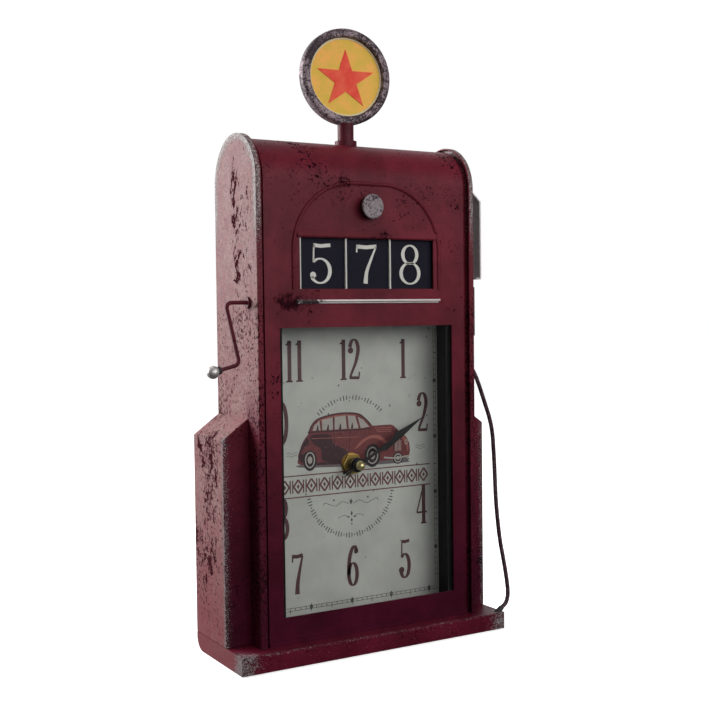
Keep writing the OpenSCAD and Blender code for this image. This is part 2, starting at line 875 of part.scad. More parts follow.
module crank() {
    turn = 90 - handle_tilt;
    color([0.4, 0.2, 0.22]) {
        crank_frame() {
            bar_x(0, 0, bend_r - crank_x, 6 - half_w, crank_wire);
            translate([bend_r - crank_x, 0, -bend_r]) wire_bend(90, 90);
            translate([-crank_x, 0, bend_r - crank_arm])
                cylinder(h = crank_arm - 2 * bend_r, d = crank_wire);
            translate([-crank_x - bend_r, 0, bend_r - crank_arm]) wire_bend(0, -turn);
        }
        handle_frame() bar_x(0, 0, -handle_len, 0.5, handle_d);
    }
}

module crank_ball() {
    x = -handle_len - 1;
    color([0.72, 0.71, 0.7])
    handle_frame() difference() {
        translate([x, 0, 0]) sphere(d = crank_ball_d);
        bar_x(0, 0, x + 1, x + crank_ball_d, handle_d);
        bar_x(0, 0, x + 3.6, x + crank_ball_d, crank_ball_d);
    }
}

module crank_collar() {
    x = 2.6 - handle_len;
    color([0.2, 0.12, 0.13])
    handle_frame() difference() {
        bar_x(0, 0, x, x + 1.6, 5);
        bar_x(0, 0, x - 1, x + 3, handle_d);
    }
}

module crank_bush() {
    color([0.3, 0.15, 0.17])
    difference() {
        union() {
            bar_x(crank_y, crank_z, -half_w - 1.6, -half_w, 7.5);
            bar_x(crank_y, crank_z, -half_w - 0.5, -half_w + sheet + 0.5, 5);
        }
        bar_x(crank_y, crank_z, -half_w - 3, -half_w + 4, crank_wire + 2 * fit);
    }
}

module crank_retainer() {
    color([0.6, 0.6, 0.62])
    difference() {
        bar_x(crank_y, crank_z, -half_w + 2, -half_w + 4.5, 6);
        bar_x(crank_y, crank_z, -half_w + 1, -half_w + 6, crank_wire);
    }
}

// ---------------------------------------------------------------- nozzle and hose

// Folded holster: back leaf on the panel, sloped hood, outer leaf, rear wall and a fork for the nozzle
module holster() {
    t = 1.2;
    top_in = 318;
    top_out = 303.5;
    y0 = holster_y[0];
    y1 = holster_y[1];
    color([0.5, 0.45, 0.46])
    difference() {
        union() {
            slab_y(y0, y1) polygon([
                [half_w, fork_z], [half_w + t, fork_z], [half_w + t, top_in - 2.4],
                [holster_x - t, top_out - 0.6], [holster_x - t, fork_z], [holster_x, fork_z],
                [holster_x, top_out], [half_w, top_in]
            ]);
            slab_y(y1 - t, y1) polygon([
                [half_w, fork_z], [holster_x, fork_z], [holster_x, top_out], [half_w, top_in]
            ]);
            block([half_w, y0, fork_z], [holster_x, y1, fork_z + t]);
        }
        block([nozzle_x - 3.3, y0 - 1, fork_z - 1], [nozzle_x + 3.3, nozzle_y, fork_z + t + 1]);
        translate([nozzle_x, nozzle_y, fork_z - 1]) cylinder(h = t + 2, d = 6.6);
        for (z = holster_screw_z) bar_x(nozzle_y, z, half_w - 1, half_w + t + 1, 2.7);
    }
}

// Nozzle hung by its collar on the fork, spout up, swivel down
module nozzle() {
    z_collar = fork_z + 1.2;
    color([0.35, 0.34, 0.35])
    difference() {
        union() {
            translate([nozzle_x, nozzle_y, z_collar]) cylinder(h = 3, d = 9.6);
            translate([nozzle_x, nozzle_y, fork_z - 6]) cylinder(h = 8, d = 6);
            translate([nozzle_x, nozzle_y, z_collar + 2]) cylinder(h = 30, d = 5);
            translate([nozzle_x, nozzle_y, fork_z - 24]) cylinder(h = 19, d = 10);
            translate([nozzle_x, nozzle_y, handle_z + 6]) cylinder(h = fork_z - handle_z - 28, d = 5.6);
            translate([nozzle_x, nozzle_y, handle_z]) cylinder(h = 7, d = 7);
            trigger_guard();
        }
        translate([nozzle_x, nozzle_y, fork_z + 8]) cylinder(h = 40, d = 3.4);
        block([nozzle_x - 1.6, nozzle_y - 8, trigger_z - 14],
              [nozzle_x + 1.6, nozzle_y - 1, trigger_z + 2]);
        bar_x(nozzle_y - 3.2, trigger_z, nozzle_x - 8, nozzle_x + 8, 1.6 + 2 * fit);
    }
}

// Flat bow in front of the lever, from the valve body down to the handle
module trigger_guard() {
    x = [nozzle_x - 1.2, nozzle_x + 1.2];
    y = nozzle_y - 12.6;
    z0 = handle_z + 8;
    z1 = trigger_z + 5.4;
    block([x[0], y, z0], [x[1], nozzle_y, z0 + 1.6]);
    block([x[0], y, z0], [x[1], y + 1.6, z1]);
    block([x[0], y, z1 - 1.8], [x[1], nozzle_y, z1]);
}

// Lever with its pin, hinged in the slot of the nozzle body
module nozzle_trigger() {
    y = nozzle_y;
    z = trigger_z;
    color([0.5, 0.5, 0.52]) {
        bar_x(y - 3.2, z, nozzle_x - 4.6, nozzle_x + 4.6, 1.6);
        slab_x(nozzle_x - 1.1, nozzle_x + 1.1) polygon([
            [y - 4.6, z + 1.4], [y - 1.9, z + 1.4], [y - 2.2, z - 2.6], [y - 6.2, z - 8],
            [y - 6.6, z - 24], [y - 7.8, z - 24], [y - 8.2, z - 7]
        ]);
    }
}

module hose() {
    color([0.1, 0.09, 0.1]) tube_along(HOSE, hose_d / 2, 8);
}

// Rings of a tube at right angles to the route, framed by the Y axis
module tube_along(route, r, sides) {
    n = len(route);
    function tangent(i) = let (d = route[min(i + 1, n - 1)] - route[max(i - 1, 0)]) d / norm(d);
    function across(t) = let (c = cross(t, [0, 1, 0])) c / norm(c);
    rings = [for (i = [0:n - 1]) let (
        t = i == 0 ? [0, 0, -1] : (i == n - 1 ? -[sin(gland_tilt), 0, cos(gland_tilt)] : tangent(i)),
        u = across(t), v = cross(t, u)
    ) for (k = [0:sides - 1]) let (a = 360 * (k + 0.5) / sides)
        route[i] + r * (cos(a) * u + sin(a) * v)];
    walls = [for (i = [0:n - 2], k = [0:sides - 1]) let (m = (k + 1) % sides)
        [i * sides + k, (i + 1) * sides + k, (i + 1) * sides + m, i * sides + m]];
    first = [for (k = [0:sides - 1]) k];
    last = [for (k = [sides - 1:-1:0]) (n - 1) * sides + k];
    polyhedron(points = rings, faces = concat([first], walls, [last]), convexity = 6);
}

// Short tilted ferrule on the plinth that takes the end of the hose
module hose_gland() {
    x = gland_foot[0];
    y = gland_foot[1];
    color([0.3, 0.28, 0.28])
    difference() {
        translate(gland_foot) rotate([0, gland_tilt, 0]) translate([0, 0, -4])
            cylinder(h = gland_len + 4, d = 3.8);
        block([x - 12, y - 12, 0], [x + 12, y + 12, base_top]);
    }
}

base_plinth();
base_plate();
felt_pad();
plate_screws();
left_panel();
right_panel();
panel_screws();
front_skin();
back_cover();
back_screws();
left_pod();
right_pod();
counter_tray();
card_hundreds();
card_tens();
card_units();
card_dividers();
counter_ledge();
arch_knob();
knob_washer();
knob_nut();
globe_ring();
globe_discs();
globe_bezel();
globe_star();
globe_post();
post_collar();
post_nut();
window_glass();
dial_box();
box_clips();
dial_board();
dial_paper();
movement_case();
movement_cover();
rubber_washer();
dial_washer();
dial_nut();
hour_wheel();
hour_hand();
minute_arbor();
minute_hand();
cap_nut();
setting_wheel();
setting_knob();
drive_module();
coil();
circuit_board();
battery();
battery_contacts();
crank();
crank_ball();
crank_collar();
crank_bush();
crank_retainer();
holster();
nozzle();
nozzle_trigger();
hose();
hose_gland();
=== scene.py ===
import math
import random

import bmesh
import bpy
from mathutils import Matrix, Vector


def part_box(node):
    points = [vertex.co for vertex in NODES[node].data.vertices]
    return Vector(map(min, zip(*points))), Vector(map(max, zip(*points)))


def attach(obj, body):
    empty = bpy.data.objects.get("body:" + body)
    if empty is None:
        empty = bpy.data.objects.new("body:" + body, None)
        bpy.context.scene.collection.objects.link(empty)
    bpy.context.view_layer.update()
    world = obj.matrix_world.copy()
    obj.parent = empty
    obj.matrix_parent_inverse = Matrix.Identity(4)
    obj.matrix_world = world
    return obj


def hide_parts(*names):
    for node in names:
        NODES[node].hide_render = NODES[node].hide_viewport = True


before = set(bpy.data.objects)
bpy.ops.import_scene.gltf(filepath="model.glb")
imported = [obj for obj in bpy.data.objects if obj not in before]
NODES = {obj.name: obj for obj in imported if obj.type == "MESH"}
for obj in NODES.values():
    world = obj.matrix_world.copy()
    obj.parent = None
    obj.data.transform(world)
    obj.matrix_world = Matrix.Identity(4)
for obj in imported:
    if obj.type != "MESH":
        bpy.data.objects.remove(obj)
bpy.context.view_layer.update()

MM = 0.001
CASE = "case"
random.seed(11)


def corner(node, low=True):
    """A corner of a CAD node's box, in millimetres."""
    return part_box(node)[0 if low else 1] / MM


# -------------------------------- camera

CAMERA_PLACE = (-385.1, -670.7, 225.3)
CAMERA_YAW = 30.18
CAMERA_PITCH = 2.13
CAMERA_ROLL = -0.69
CAMERA_LENS = 57.14


def make_camera():
    """The photo's camera: level and looking right by the yaw, then pitched down and rolled."""
    yaw, pitch, roll = (math.radians(a) for a in (CAMERA_YAW, CAMERA_PITCH, CAMERA_ROLL))
    flat = math.cos(pitch)
    forward = Vector((math.sin(yaw) * flat, math.cos(yaw) * flat, -math.sin(pitch)))
    level = Vector((math.cos(yaw), -math.sin(yaw), 0))
    upright = level.cross(forward)
    right = level * math.cos(roll) + upright * math.sin(roll)
    up = upright * math.cos(roll) - level * math.sin(roll)
    camera = bpy.data.objects.new("camera", bpy.data.cameras.new("camera"))
    camera.data.lens = CAMERA_LENS
    camera.data.sensor_width = 36
    camera.data.clip_start = 0.01
    camera.matrix_world = Matrix.Translation(Vector(CAMERA_PLACE) * MM) @ Matrix(
        (right, up, -forward)
    ).transposed().to_4x4()
    bpy.context.scene.collection.objects.link(camera)
    bpy.context.scene.camera = camera


make_camera()


# -------------------------------- shader helper


class Shader:
    """One procedural material. Places are in metres in the object's own space, which is the frame's."""

    def __init__(self, name):
        self.material = bpy.data.materials.new(name)
        self.material.use_nodes = True
        self.tree = self.material.node_tree
        self.bsdf = self.tree.nodes["Principled BSDF"]
        self.place = self.tree.nodes.new("ShaderNodeTexCoord").outputs["Object"]
        self.axes = None

    def add(self, kind, inputs, **settings):
        node = self.tree.nodes.new(kind)
        for key, value in settings.items():
            setattr(node, key, value)
        for key, value in inputs.items():
            self.feed(node.inputs[key], value)
        return node

    def feed(self, socket, value):
        if isinstance(value, bpy.types.NodeSocket):
            self.tree.links.new(value, socket)
        else:
            socket.default_value = value

    def axis(self, index):
        """X, Y or Z of the place, in millimetres."""
        if self.axes is None:
            scaled = self.add("ShaderNodeVectorMath", {0: self.place, 3: 1 / MM}, operation="SCALE")
            self.axes = self.add("ShaderNodeSeparateXYZ", {0: scaled.outputs[0]})
        return self.axes.outputs[index]

    def math(self, operation, a, b=0.0, c=0.0):
        return self.add("ShaderNodeMath", {0: a, 1: b, 2: c}, operation=operation).outputs[0]

    def stretched(self, factors):
        """The place with each axis scaled, for streaks."""
        node = self.add("ShaderNodeVectorMath", {0: self.place, 1: factors}, operation="MULTIPLY")
        return node.outputs[0]

    def noise(self, size, detail=3.0, rough=0.6, place=None, shift=0.0):
        """Noise whose features are about size millimetres across."""
        inputs = {"Vector": place or self.place, "Scale": 1 / (size * MM), "Detail": detail,
                  "Roughness": rough, "W": shift}
        return self.add("ShaderNodeTexNoise", inputs, noise_dimensions="4D").outputs["Fac"]

    def step(self, value, low, high, out_low=0.0, out_high=1.0):
        """A smooth step from low to high."""
        inputs = {"Value": value, "From Min": low, "From Max": high, "To Min": out_low, "To Max": out_high}
        node = self.add("ShaderNodeMapRange", inputs, interpolation_type="SMOOTHSTEP", clamp=True)
        return node.outputs[0]

    def blend(self, share, a, b):
        """A colour that goes from a to b."""
        node = self.add("ShaderNodeMix", {0: share}, data_type="RGBA")
        for socket, value in zip((node.inputs[6], node.inputs[7]), (a, b)):
            self.feed(socket, value if isinstance(value, bpy.types.NodeSocket) else (*value, 1.0))
        return node.outputs[2]

    def level(self, share, a, b):
        """A number that goes from a to b."""
        return self.add("ShaderNodeMix", {0: share, 2: a, 3: b}, data_type="FLOAT").outputs[0]

    def bump(self, height, depth):
        """Surface relief, depth in millimetres."""
        inputs = {"Height": height, "Strength": 1.0, "Distance": depth * MM}
        return self.add("ShaderNodeBump", inputs).outputs[0]

    def done(self, **inputs):
        """Sets the shader's sockets, with spaces in their names given as underscores."""
        for key, value in inputs.items():
            if isinstance(value, tuple) and len(value) == 3:
                value = (*value, 1.0)
            self.feed(self.bsdf.inputs[key.replace("_", " ")], value)
        return self.material


def rgb(red, green, blue):
    """A colour given as 0 to 255 screen values, as linear light."""
    return tuple(
        (v / 255 / 12.92) if v / 255 <= 0.04045 else ((v / 255 + 0.055) / 1.055) ** 2.4
        for v in (red, green, blue)
    )


def shade(colour, factor):
    return tuple(v * factor for v in colour)


# -------------------------------- paint and wear

BURGUNDY = rgb(106, 32, 45)
# colour at the foot of the front: painted shade, the enamel darkened where less light falls
BURGUNDY_SHADED_FOOT = rgb(70, 13, 35)
CHIP_DARK = rgb(34, 12, 22)
# rose and grey of the outer faces: painted sheen, the reflection of the bright backdrop put into the colour;
# the redder low tone is where it fades towards the foot
SHEEN_ROSE = rgb(140, 92, 95)
SHEEN_GREY = rgb(148, 114, 112)
SHEEN_LOW = rgb(112, 42, 52)
# chip colour on the faces with painted sheen, lightened along with the painted sheen
SHEEN_CHIP = rgb(58, 25, 31)
# one bare metal in a lit copy for the front and a shaded copy for the outer faces: painted light and shade
BARE_LIT_FRONT = rgb(176, 170, 170)
BARE_SHADED_SIDE = rgb(122, 116, 116)
ENAMEL_ROUGH, SHEEN_ROUGH, CHIP_ROUGH, BARE_ROUGH = 0.42, 0.55, 0.75, 0.5
ENAMEL_SHINE, SHEEN_SHINE = 0.11, 0.1
BARE_METAL = 0.3
PAINT_RELIEF = 0.05

PANEL = corner("left_panel", low=False)
PANEL_X = -corner("left_panel").x
PANEL_R = PANEL.y
ARCH_Z = PANEL.z - PANEL_R
RIM_X = PANEL_X - 4.0
PLINTH_LOW, PLINTH_HIGH = corner("base_plinth"), corner("base_plinth", low=False)
POD_FRONT = corner("left_pod").y
POD_TOP_Z = (150.0, 185.0)
STREAK_FOOT_Z, STREAK_HEAD_Z = (222.0, 246.0), (316.0, 334.0)
STREAK_Y, STREAK_LEAN = -16.5, 0.06
STREAK_HALF = (1.0, 16.0)
GRIT_Z = (222.0, 245.0)


def side_distance(s):
    """How far in a point lies from the outer faces of the pods and the plinth, in millimetres."""
    return s.math("SUBTRACT", PLINTH_HIGH.x, s.math("ABSOLUTE", s.axis(0)))


def rim_rub(s):
    """Wear along the rolled rims of the side panels, strongest over the top."""
    above = s.math("MAXIMUM", s.math("SUBTRACT", s.axis(2), ARCH_Z), 0.0)
    square = s.math("ADD", s.math("POWER", s.axis(1), 2.0), s.math("POWER", above, 2.0))
    inside = s.math("SUBTRACT", PANEL_R, s.math("SQRT", square))
    outline = s.step(inside, 0.8, 9.0, 1.0, 0.0)
    near_rim = s.step(s.math("ABSOLUTE", s.axis(0)), RIM_X, RIM_X + 1.2)
    height = s.step(s.axis(2), 245.0, 300.0, 0.12, 1.0)
    return s.math("MULTIPLY", s.math("MULTIPLY", outline, near_rim), height)


def corner_rub(s):
    """Wear at the two front corners of the plinth and along its upper front edge."""
    front = s.math("SUBTRACT", s.axis(1), PLINTH_LOW.y)
    square = s.math("ADD", s.math("POWER", side_distance(s), 2.0), s.math("POWER", front, 2.0))
    ragged = s.math("MULTIPLY_ADD", s.noise(5.0, 4.0, 0.7), 14.0, s.math("SQRT", square))
    edge = s.math("MAXIMUM", front, s.math("SUBTRACT", PLINTH_HIGH.z, s.axis(2)))
    return s.math("MAXIMUM", s.step(ragged, 9.0, 28.0, 1.0, 0.0), s.step(edge, 0.4, 2.6, 0.55, 0.0))


def pod_rub(s):
    """Light wear along the outer vertical edge of the pods."""
    front = s.math("SUBTRACT", s.axis(1), POD_FRONT)
    return s.step(s.math("MAXIMUM", side_distance(s), front), 0.3, 7.0, 0.8, 0.0)


def panel_sheen(s):
    """Where the side panels get painted sheen: their outer faces, but not the strip that the pods shade."""
    outer = s.step(s.math("ABSOLUTE", s.axis(0)), PANEL_X - 0.5, PANEL_X - 0.1)
    behind = s.step(s.axis(1), POD_FRONT, POD_FRONT + 4.0)
    return s.math("MULTIPLY", outer, s.math("MAXIMUM", s.step(s.axis(2), *POD_TOP_Z), behind))


def pod_sheen(s):
    """Where a pod gets painted sheen: all of it but its front."""
    return s.step(s.axis(1), POD_FRONT + 0.2, POD_FRONT + 1.0)


def plinth_sheen(s):
    """Where the plinth gets painted sheen: its ends."""
    return s.step(side_distance(s), 0.2, 1.0, 0.75, 0.0)


def panel_scatter(s):
    """Where the side panels chip: a ragged upright streak high up, and grit below it."""
    lean = s.math("MULTIPLY_ADD", s.axis(2), -STREAK_LEAN, -STREAK_Y)
    off = s.math("ABSOLUTE", s.math("ADD", s.axis(1), lean))
    streak = s.math("MULTIPLY", s.step(off, *STREAK_HALF, 1.0, 0.0), s.step(s.axis(2), *STREAK_FOOT_Z))
    streak = s.math("MULTIPLY", streak, s.step(s.axis(2), *STREAK_HEAD_Z, 1.0, 0.0))
    return streak, s.step(s.axis(2), *GRIT_Z, 1.6, 0.5)


def front_scatter(s):
    """Small chips over the upper front and the roof."""
    upper = s.step(s.axis(2), 205.0, 270.0)
    return s.math("MULTIPLY", upper, 0.32), s.math("MULTIPLY", upper, 0.8)


def front_dark_patch(s):
    """A dark patch on the front, around the lower left end of the ledge."""
    ledge = corner("counter_ledge")
    side = s.math("MULTIPLY", s.math("SUBTRACT", s.axis(0), ledge.x - 4.0), 1 / 17.0)
    up = s.math("MULTIPLY", s.math("SUBTRACT", s.axis(2), ledge.z + 0.5), 1 / 8.5)
    far = s.math("SQRT", s.math("ADD", s.math("POWER", side, 2.0), s.math("POWER", up, 2.0)))
    ragged = s.math("MULTIPLY_ADD", s.noise(5.0, 4.0, 0.8, None, 31.0), 3.4, far)
    front = s.step(s.axis(1), -10.0, 0.0, 1.0, 0.0)
    return s.math("MULTIPLY", s.step(ragged, 1.9, 2.5, 0.85, 0.0), front)


def enamel_tone(s, colour, low):
    """Cloudy enamel that turns from colour to low towards the foot, a painted shade for the light that falls
    off lower down, with dull runs and small flecks.
    """
    height = s.step(s.axis(2), 15.0, 250.0)

    def tone(factor):
        return s.blend(height, shade(low, factor), shade(colour, factor))

    out = s.blend(s.step(s.noise(38.0, 4.0, 0.65), 0.34, 0.66), tone(0.72), tone(1.22))
    run = s.noise(26.0, 3.0, 0.6, s.stretched((1.0, 1.0, 0.18)), 3.0)
    out = s.blend(s.step(run, 0.48, 0.74, 0.0, 0.5), out, tone(0.5))
    fleck = s.noise(2.2, 3.0, 0.7, None, 12.0)
    return s.blend(s.step(fleck, 0.5, 0.72, 0.0, 0.45), out, tone(0.62))


def painted_sheen_tone(s):
    """Painted sheen: the paint paled to rose and grey as if it reflected the bright backdrop, with dusty
    specks, and redder towards the foot where the sheen fades.
    """
    cloud = s.noise(11.0, 4.0, 0.7, None, 15.0)
    sheen_colour = s.blend(s.step(cloud, 0.36, 0.64), SHEEN_ROSE, SHEEN_GREY)
    dust = s.step(s.noise(1.5, 3.0, 0.75, None, 17.0), 0.36, 0.6, 0.6, 0.0)
    sheen_colour = s.blend(dust, sheen_colour, shade(SHEEN_ROSE, 0.4))
    return s.blend(s.step(s.axis(2), 20.0, 120.0, 0.65, 0.0), sheen_colour, SHEEN_LOW)


def chip_mask(s, chips, specks, scatter, stretch, grain, blot):
    """Where paint has come off: whole in the chips, partly in the specks."""
    cluster = s.noise(30.0, 2.0, 0.5, s.stretched((1.0, 1.0, stretch)), 7.0)
    shape = s.noise(blot, 4.0, 0.72, s.stretched((1.0, 1.0, stretch)), 2.0)
    fleck = s.noise(grain, 2.0, 0.6, s.stretched((1.0, 1.0, stretch + 0.2)), 5.0)
    chip_level = s.math("MULTIPLY_ADD", cluster, 0.5, s.math("MULTIPLY", shape, 0.65))
    speck_level = s.math("MULTIPLY_ADD", cluster, 0.4, s.math("MULTIPLY", fleck, 0.8))
    if scatter:
        streak, grit = scatter(s)
        chip_level = s.math("MULTIPLY_ADD", streak, 0.17, chip_level)
        speck_level = s.math("MULTIPLY_ADD", grit, 0.09, speck_level)
    chip_at, speck_at = 0.77 - 0.1 * chips, 0.82 - 0.1 * specks
    chip = s.step(chip_level, chip_at, chip_at + 0.015)
    speck = s.step(speck_level, speck_at, speck_at + 0.02, 0.0, 0.8)
    return s.math("MAXIMUM", chip, speck)


def bare_mask(s, rub, sheen_face):
    """Where the paint is rubbed down to grains of metal."""
    salt = s.noise(0.8, 3.0, 0.75, None, 9.0)
    return s.step(s.math("MULTIPLY_ADD", rub(s), s.level(sheen_face, 0.19, 0.25), salt), 0.64, 0.70)


def bare_tone(s, sheen_face):
    """Metal that shows through, in a lighter copy on the front and a darker copy on the faces with painted
    sheen: painted light and shade on one metal.
    """
    bright = s.blend(sheen_face, BARE_LIT_FRONT, BARE_SHADED_SIDE)
    patch = s.step(s.noise(1.7, 2.0, 0.6, None, 21.0), 0.35, 0.65)
    return s.blend(patch, shade(BARE_SHADED_SIDE, 0.55), bright)


def paint(name, chips=0.4, specks=0.3, rub=None, painted_sheen=None, scatter=None, dark_patch=None, stretch=0.55,
          grain=1.0, blot=3.4, colour=BURGUNDY, low=BURGUNDY_SHADED_FOOT):
    """Old enamel. rub, scatter and the sheen and patch masks say where it is rubbed bare, chipped, paled by
    painted sheen and darkened in a patch.
    """
    s = Shader(name)
    out = enamel_tone(s, colour, low)
    sheen_face = 0.0
    # painted sheen: the outer faces paled as if they reflected the bright backdrop
    if painted_sheen:
        sheen_face = painted_sheen(s)
        out = s.blend(sheen_face, out, painted_sheen_tone(s))
    dark = chip_mask(s, chips, specks, scatter, stretch, grain, blot)
    # chips show lighter where the painted sheen lies
    out = s.blend(dark, out, s.blend(sheen_face, CHIP_DARK, SHEEN_CHIP))
    # a dark patch around the lower left end of the ledge on the front
    if dark_patch:
        patch = dark_patch(s)
        out = s.blend(patch, out, shade(CHIP_DARK, 0.7))
        dark = s.math("MAXIMUM", dark, patch)
    rough = s.level(dark, s.level(sheen_face, ENAMEL_ROUGH, SHEEN_ROUGH), CHIP_ROUGH)
    relief = s.math("SUBTRACT", s.noise(0.9, 2.0), s.math("MULTIPLY", dark, 1.2))
    metal = 0.0
    if rub:
        bare = bare_mask(s, rub, sheen_face)
        out = s.blend(bare, out, bare_tone(s, sheen_face))
        rough = s.level(bare, rough, BARE_ROUGH)
        metal = s.math("MULTIPLY", bare, BARE_METAL)
        relief = s.math("SUBTRACT", relief, bare)
    return s.done(Base_Color=out, Roughness=rough, Metallic=metal, Normal=s.bump(relief, PAINT_RELIEF),
                  Specular_IOR_Level=s.level(dark, s.level(sheen_face, ENAMEL_SHINE, SHEEN_SHINE), 0.0))


def worn_metal(name, light, dark, grain=1.2, cover=0.5, metallic=0.7, rough=0.42, more=None):
    """Metal or silver paint gone patchy: grains of light finish over a dark ground."""
    s = Shader(name)
    salt = s.noise(grain, 3.0, 0.75, None, 4.0)
    patch = s.noise(14.0, 3.0, 0.6, None, 6.0)
    level = s.math("MULTIPLY_ADD", patch, 0.5, salt)
    if more:
        level = s.math("ADD", level, more(s))
    middle = 1.0 - 0.5 * cover
    grains = s.step(level, middle - 0.07, middle + 0.05)
    tone = s.blend(s.noise(2.6, 2.0), shade(light, 0.72), light)
    return s.done(Base_Color=s.blend(grains, dark, tone), Roughness=s.level(grains, 0.72, rough),
                  Metallic=s.math("MULTIPLY", grains, metallic), Normal=s.bump(grains, 0.06))


def face_only(s):
    """Keeps the finish on the front of the arch knob and takes it off the sides."""
    front = corner("arch_knob").y
    return s.step(s.axis(1), front + 0.4, front + 1.6, 0.04, -0.5)


def bright_right(s):
    """Wears the ledge from dark at its left end to bright at its right."""
    return s.step(s.axis(0), -52.0, -18.0, -0.28, 0.14)


def bright_outside(s):
    """Bright on the outer leaf of the holster, dark against the panel."""
    return s.step(s.axis(0), PANEL_X + 4.0, PANEL_X + 8.0, -0.3, 0.16)


def plain_metal(name, colour, rough=0.3):
    """Clean machined metal with fine turning lines and a little tarnish."""
    s = Shader(name)
    lines = s.noise(0.5, 2.0, 0.6, s.stretched((1.0, 6.0, 1.0)))
    tarnish = s.noise(5.0, 4.0, 0.65, None, 1.0)
    colour_out = s.blend(s.step(tarnish, 0.45, 0.75), colour, shade(colour, 0.55))
    rough_out = s.math("MULTIPLY_ADD", tarnish, 0.35, rough - 0.1)
    return s.done(Base_Color=colour_out, Roughness=rough_out, Metallic=1.0, Normal=s.bump(lines, 0.012))


def plastic(name, colour, rough=0.45, relief=0.02):
    """Moulded plastic or baked enamel with a fine grain and slight changes of tone."""
    s = Shader(name)
    fine = s.noise(0.7, 2.0, 0.6)
    wide = s.noise(16.0, 3.0, 0.6, None, 8.0)
    colour_out = s.blend(wide, shade(colour, 0.82), shade(colour, 1.18))
    rough_out = s.math("MULTIPLY_ADD", wide, 0.25, rough - 0.12)
    return s.done(Base_Color=colour_out, Roughness=rough_out, Normal=s.bump(fine, relief))


# -------------------------------- special finishes


def paper_finish():
    """Printed dial card: pale grey, mottled, with soft stains."""
    s = Shader("dial_card")
    base = rgb(194, 196, 188)
    fibre = s.noise(0.6, 3.0, 0.7)
    cloud = s.noise(26.0, 4.0, 0.6, None, 2.0)
    stain = s.step(s.noise(9.0, 4.0, 0.7, None, 6.0), 0.60, 0.78, 0.0, 0.55)
    colour = s.blend(s.step(cloud, 0.3, 0.7), shade(base, 0.9), shade(base, 1.08))
    colour = s.blend(stain, colour, rgb(166, 162, 148))
    return s.done(Base_Color=colour, Roughness=0.7, Normal=s.bump(fibre, 0.02))


def ink(name, colour, bare=0.62):
    """Printing ink with small misses that let the card show."""
    s = Shader(name)
    miss = s.step(s.noise(0.8, 3.0, 0.75, None, 3.0), bare, bare + 0.06, 0.0, 0.65)
    tone = s.blend(s.noise(4.0, 3.0), shade(colour, 0.8), shade(colour, 1.25))
    return s.done(Base_Color=s.blend(miss, tone, rgb(180, 180, 168)), Roughness=0.6,
                  Normal=s.bump(s.noise(0.5), 0.01))


def disc_finish():
    """Yellow enamel disc with cloudy, slightly greenish tone, which glows faintly in its own colour: a
    painted glow.
    """
    s = Shader("disc_yellow")
    cloud = s.noise(13.0, 4.0, 0.6)
    colour = s.blend(s.step(cloud, 0.35, 0.68), rgb(216, 178, 62), rgb(242, 176, 84))
    dirt = s.step(s.noise(3.0, 4.0, 0.75, None, 4.0), 0.64, 0.74, 0.0, 0.4)
    colour = s.blend(dirt, colour, rgb(160, 126, 66))
    # the faint emission is a painted glow that brightens the disc; it is no lamp
    return s.done(Base_Color=colour, Roughness=s.math("MULTIPLY_ADD", cloud, 0.3, 0.3),
                  Normal=s.bump(s.noise(1.2), 0.02), Emission_Color=colour, Emission_Strength=0.1,
                  Specular_IOR_Level=0.2)


def star_finish():
    """Orange-red enamel, scuffed pale in spots."""
    s = Shader("star_red")
    cloud = s.noise(9.0, 3.0, 0.6)
    colour = s.blend(s.step(cloud, 0.35, 0.65), rgb(240, 66, 50), rgb(248, 100, 70))
    scuff = s.step(s.noise(1.4, 3.0, 0.75, None, 4.0), 0.66, 0.72, 0.0, 0.5)
    return s.done(Base_Color=s.blend(scuff, colour, rgb(208, 120, 80)), Roughness=0.5,
                  Normal=s.bump(s.noise(1.0), 0.02), Specular_IOR_Level=0.2)


def card_finish():
    """Blue-black painted number card with pale rubbed specks."""
    s = Shader("card_enamel")
    cloud = s.noise(10.0, 3.0, 0.6)
    colour = s.blend(cloud, rgb(14, 13, 26), rgb(28, 26, 42))
    speck = s.step(s.noise(0.9, 2.0, 0.7, None, 5.0), 0.70, 0.74, 0.0, 0.5)
    return s.done(Base_Color=s.blend(speck, colour, rgb(104, 104, 112)), Roughness=0.6,
                  Normal=s.bump(s.noise(0.8), 0.03), Specular_IOR_Level=0.12)


def felt_finish():
    """Matted black felt."""
    s = Shader("felt_black")
    fibre = s.noise(0.35, 4.0, 0.8)
    colour = s.blend(fibre, rgb(16, 16, 17), rgb(58, 57, 58))
    return s.done(Base_Color=colour, Roughness=0.95, Sheen_Weight=0.4, Normal=s.bump(fibre, 0.15))


def board_finish():
    """Brown fibre board."""
    s = Shader("fibre_board")
    fibre = s.noise(1.0, 4.0, 0.75, s.stretched((1.0, 3.0, 1.0)))
    colour = s.blend(fibre, rgb(104, 76, 52), rgb(160, 126, 92))
    return s.done(Base_Color=colour, Roughness=0.85, Normal=s.bump(fibre, 0.08))


WIRE_PITCH, WEAVE_PITCH = 0.22, 1.1


def copper_finish():
    """Lacquered magnet wire, wound in close turns."""
    s = Shader("copper_wire")
    turn = s.math("SINE", s.math("MULTIPLY", s.axis(2), 2 * math.pi / WIRE_PITCH))
    colour = s.blend(s.noise(4.0), rgb(150, 74, 38), rgb(206, 122, 70))
    return s.done(Base_Color=colour, Roughness=0.3, Metallic=0.9, Normal=s.bump(turn, 0.05))


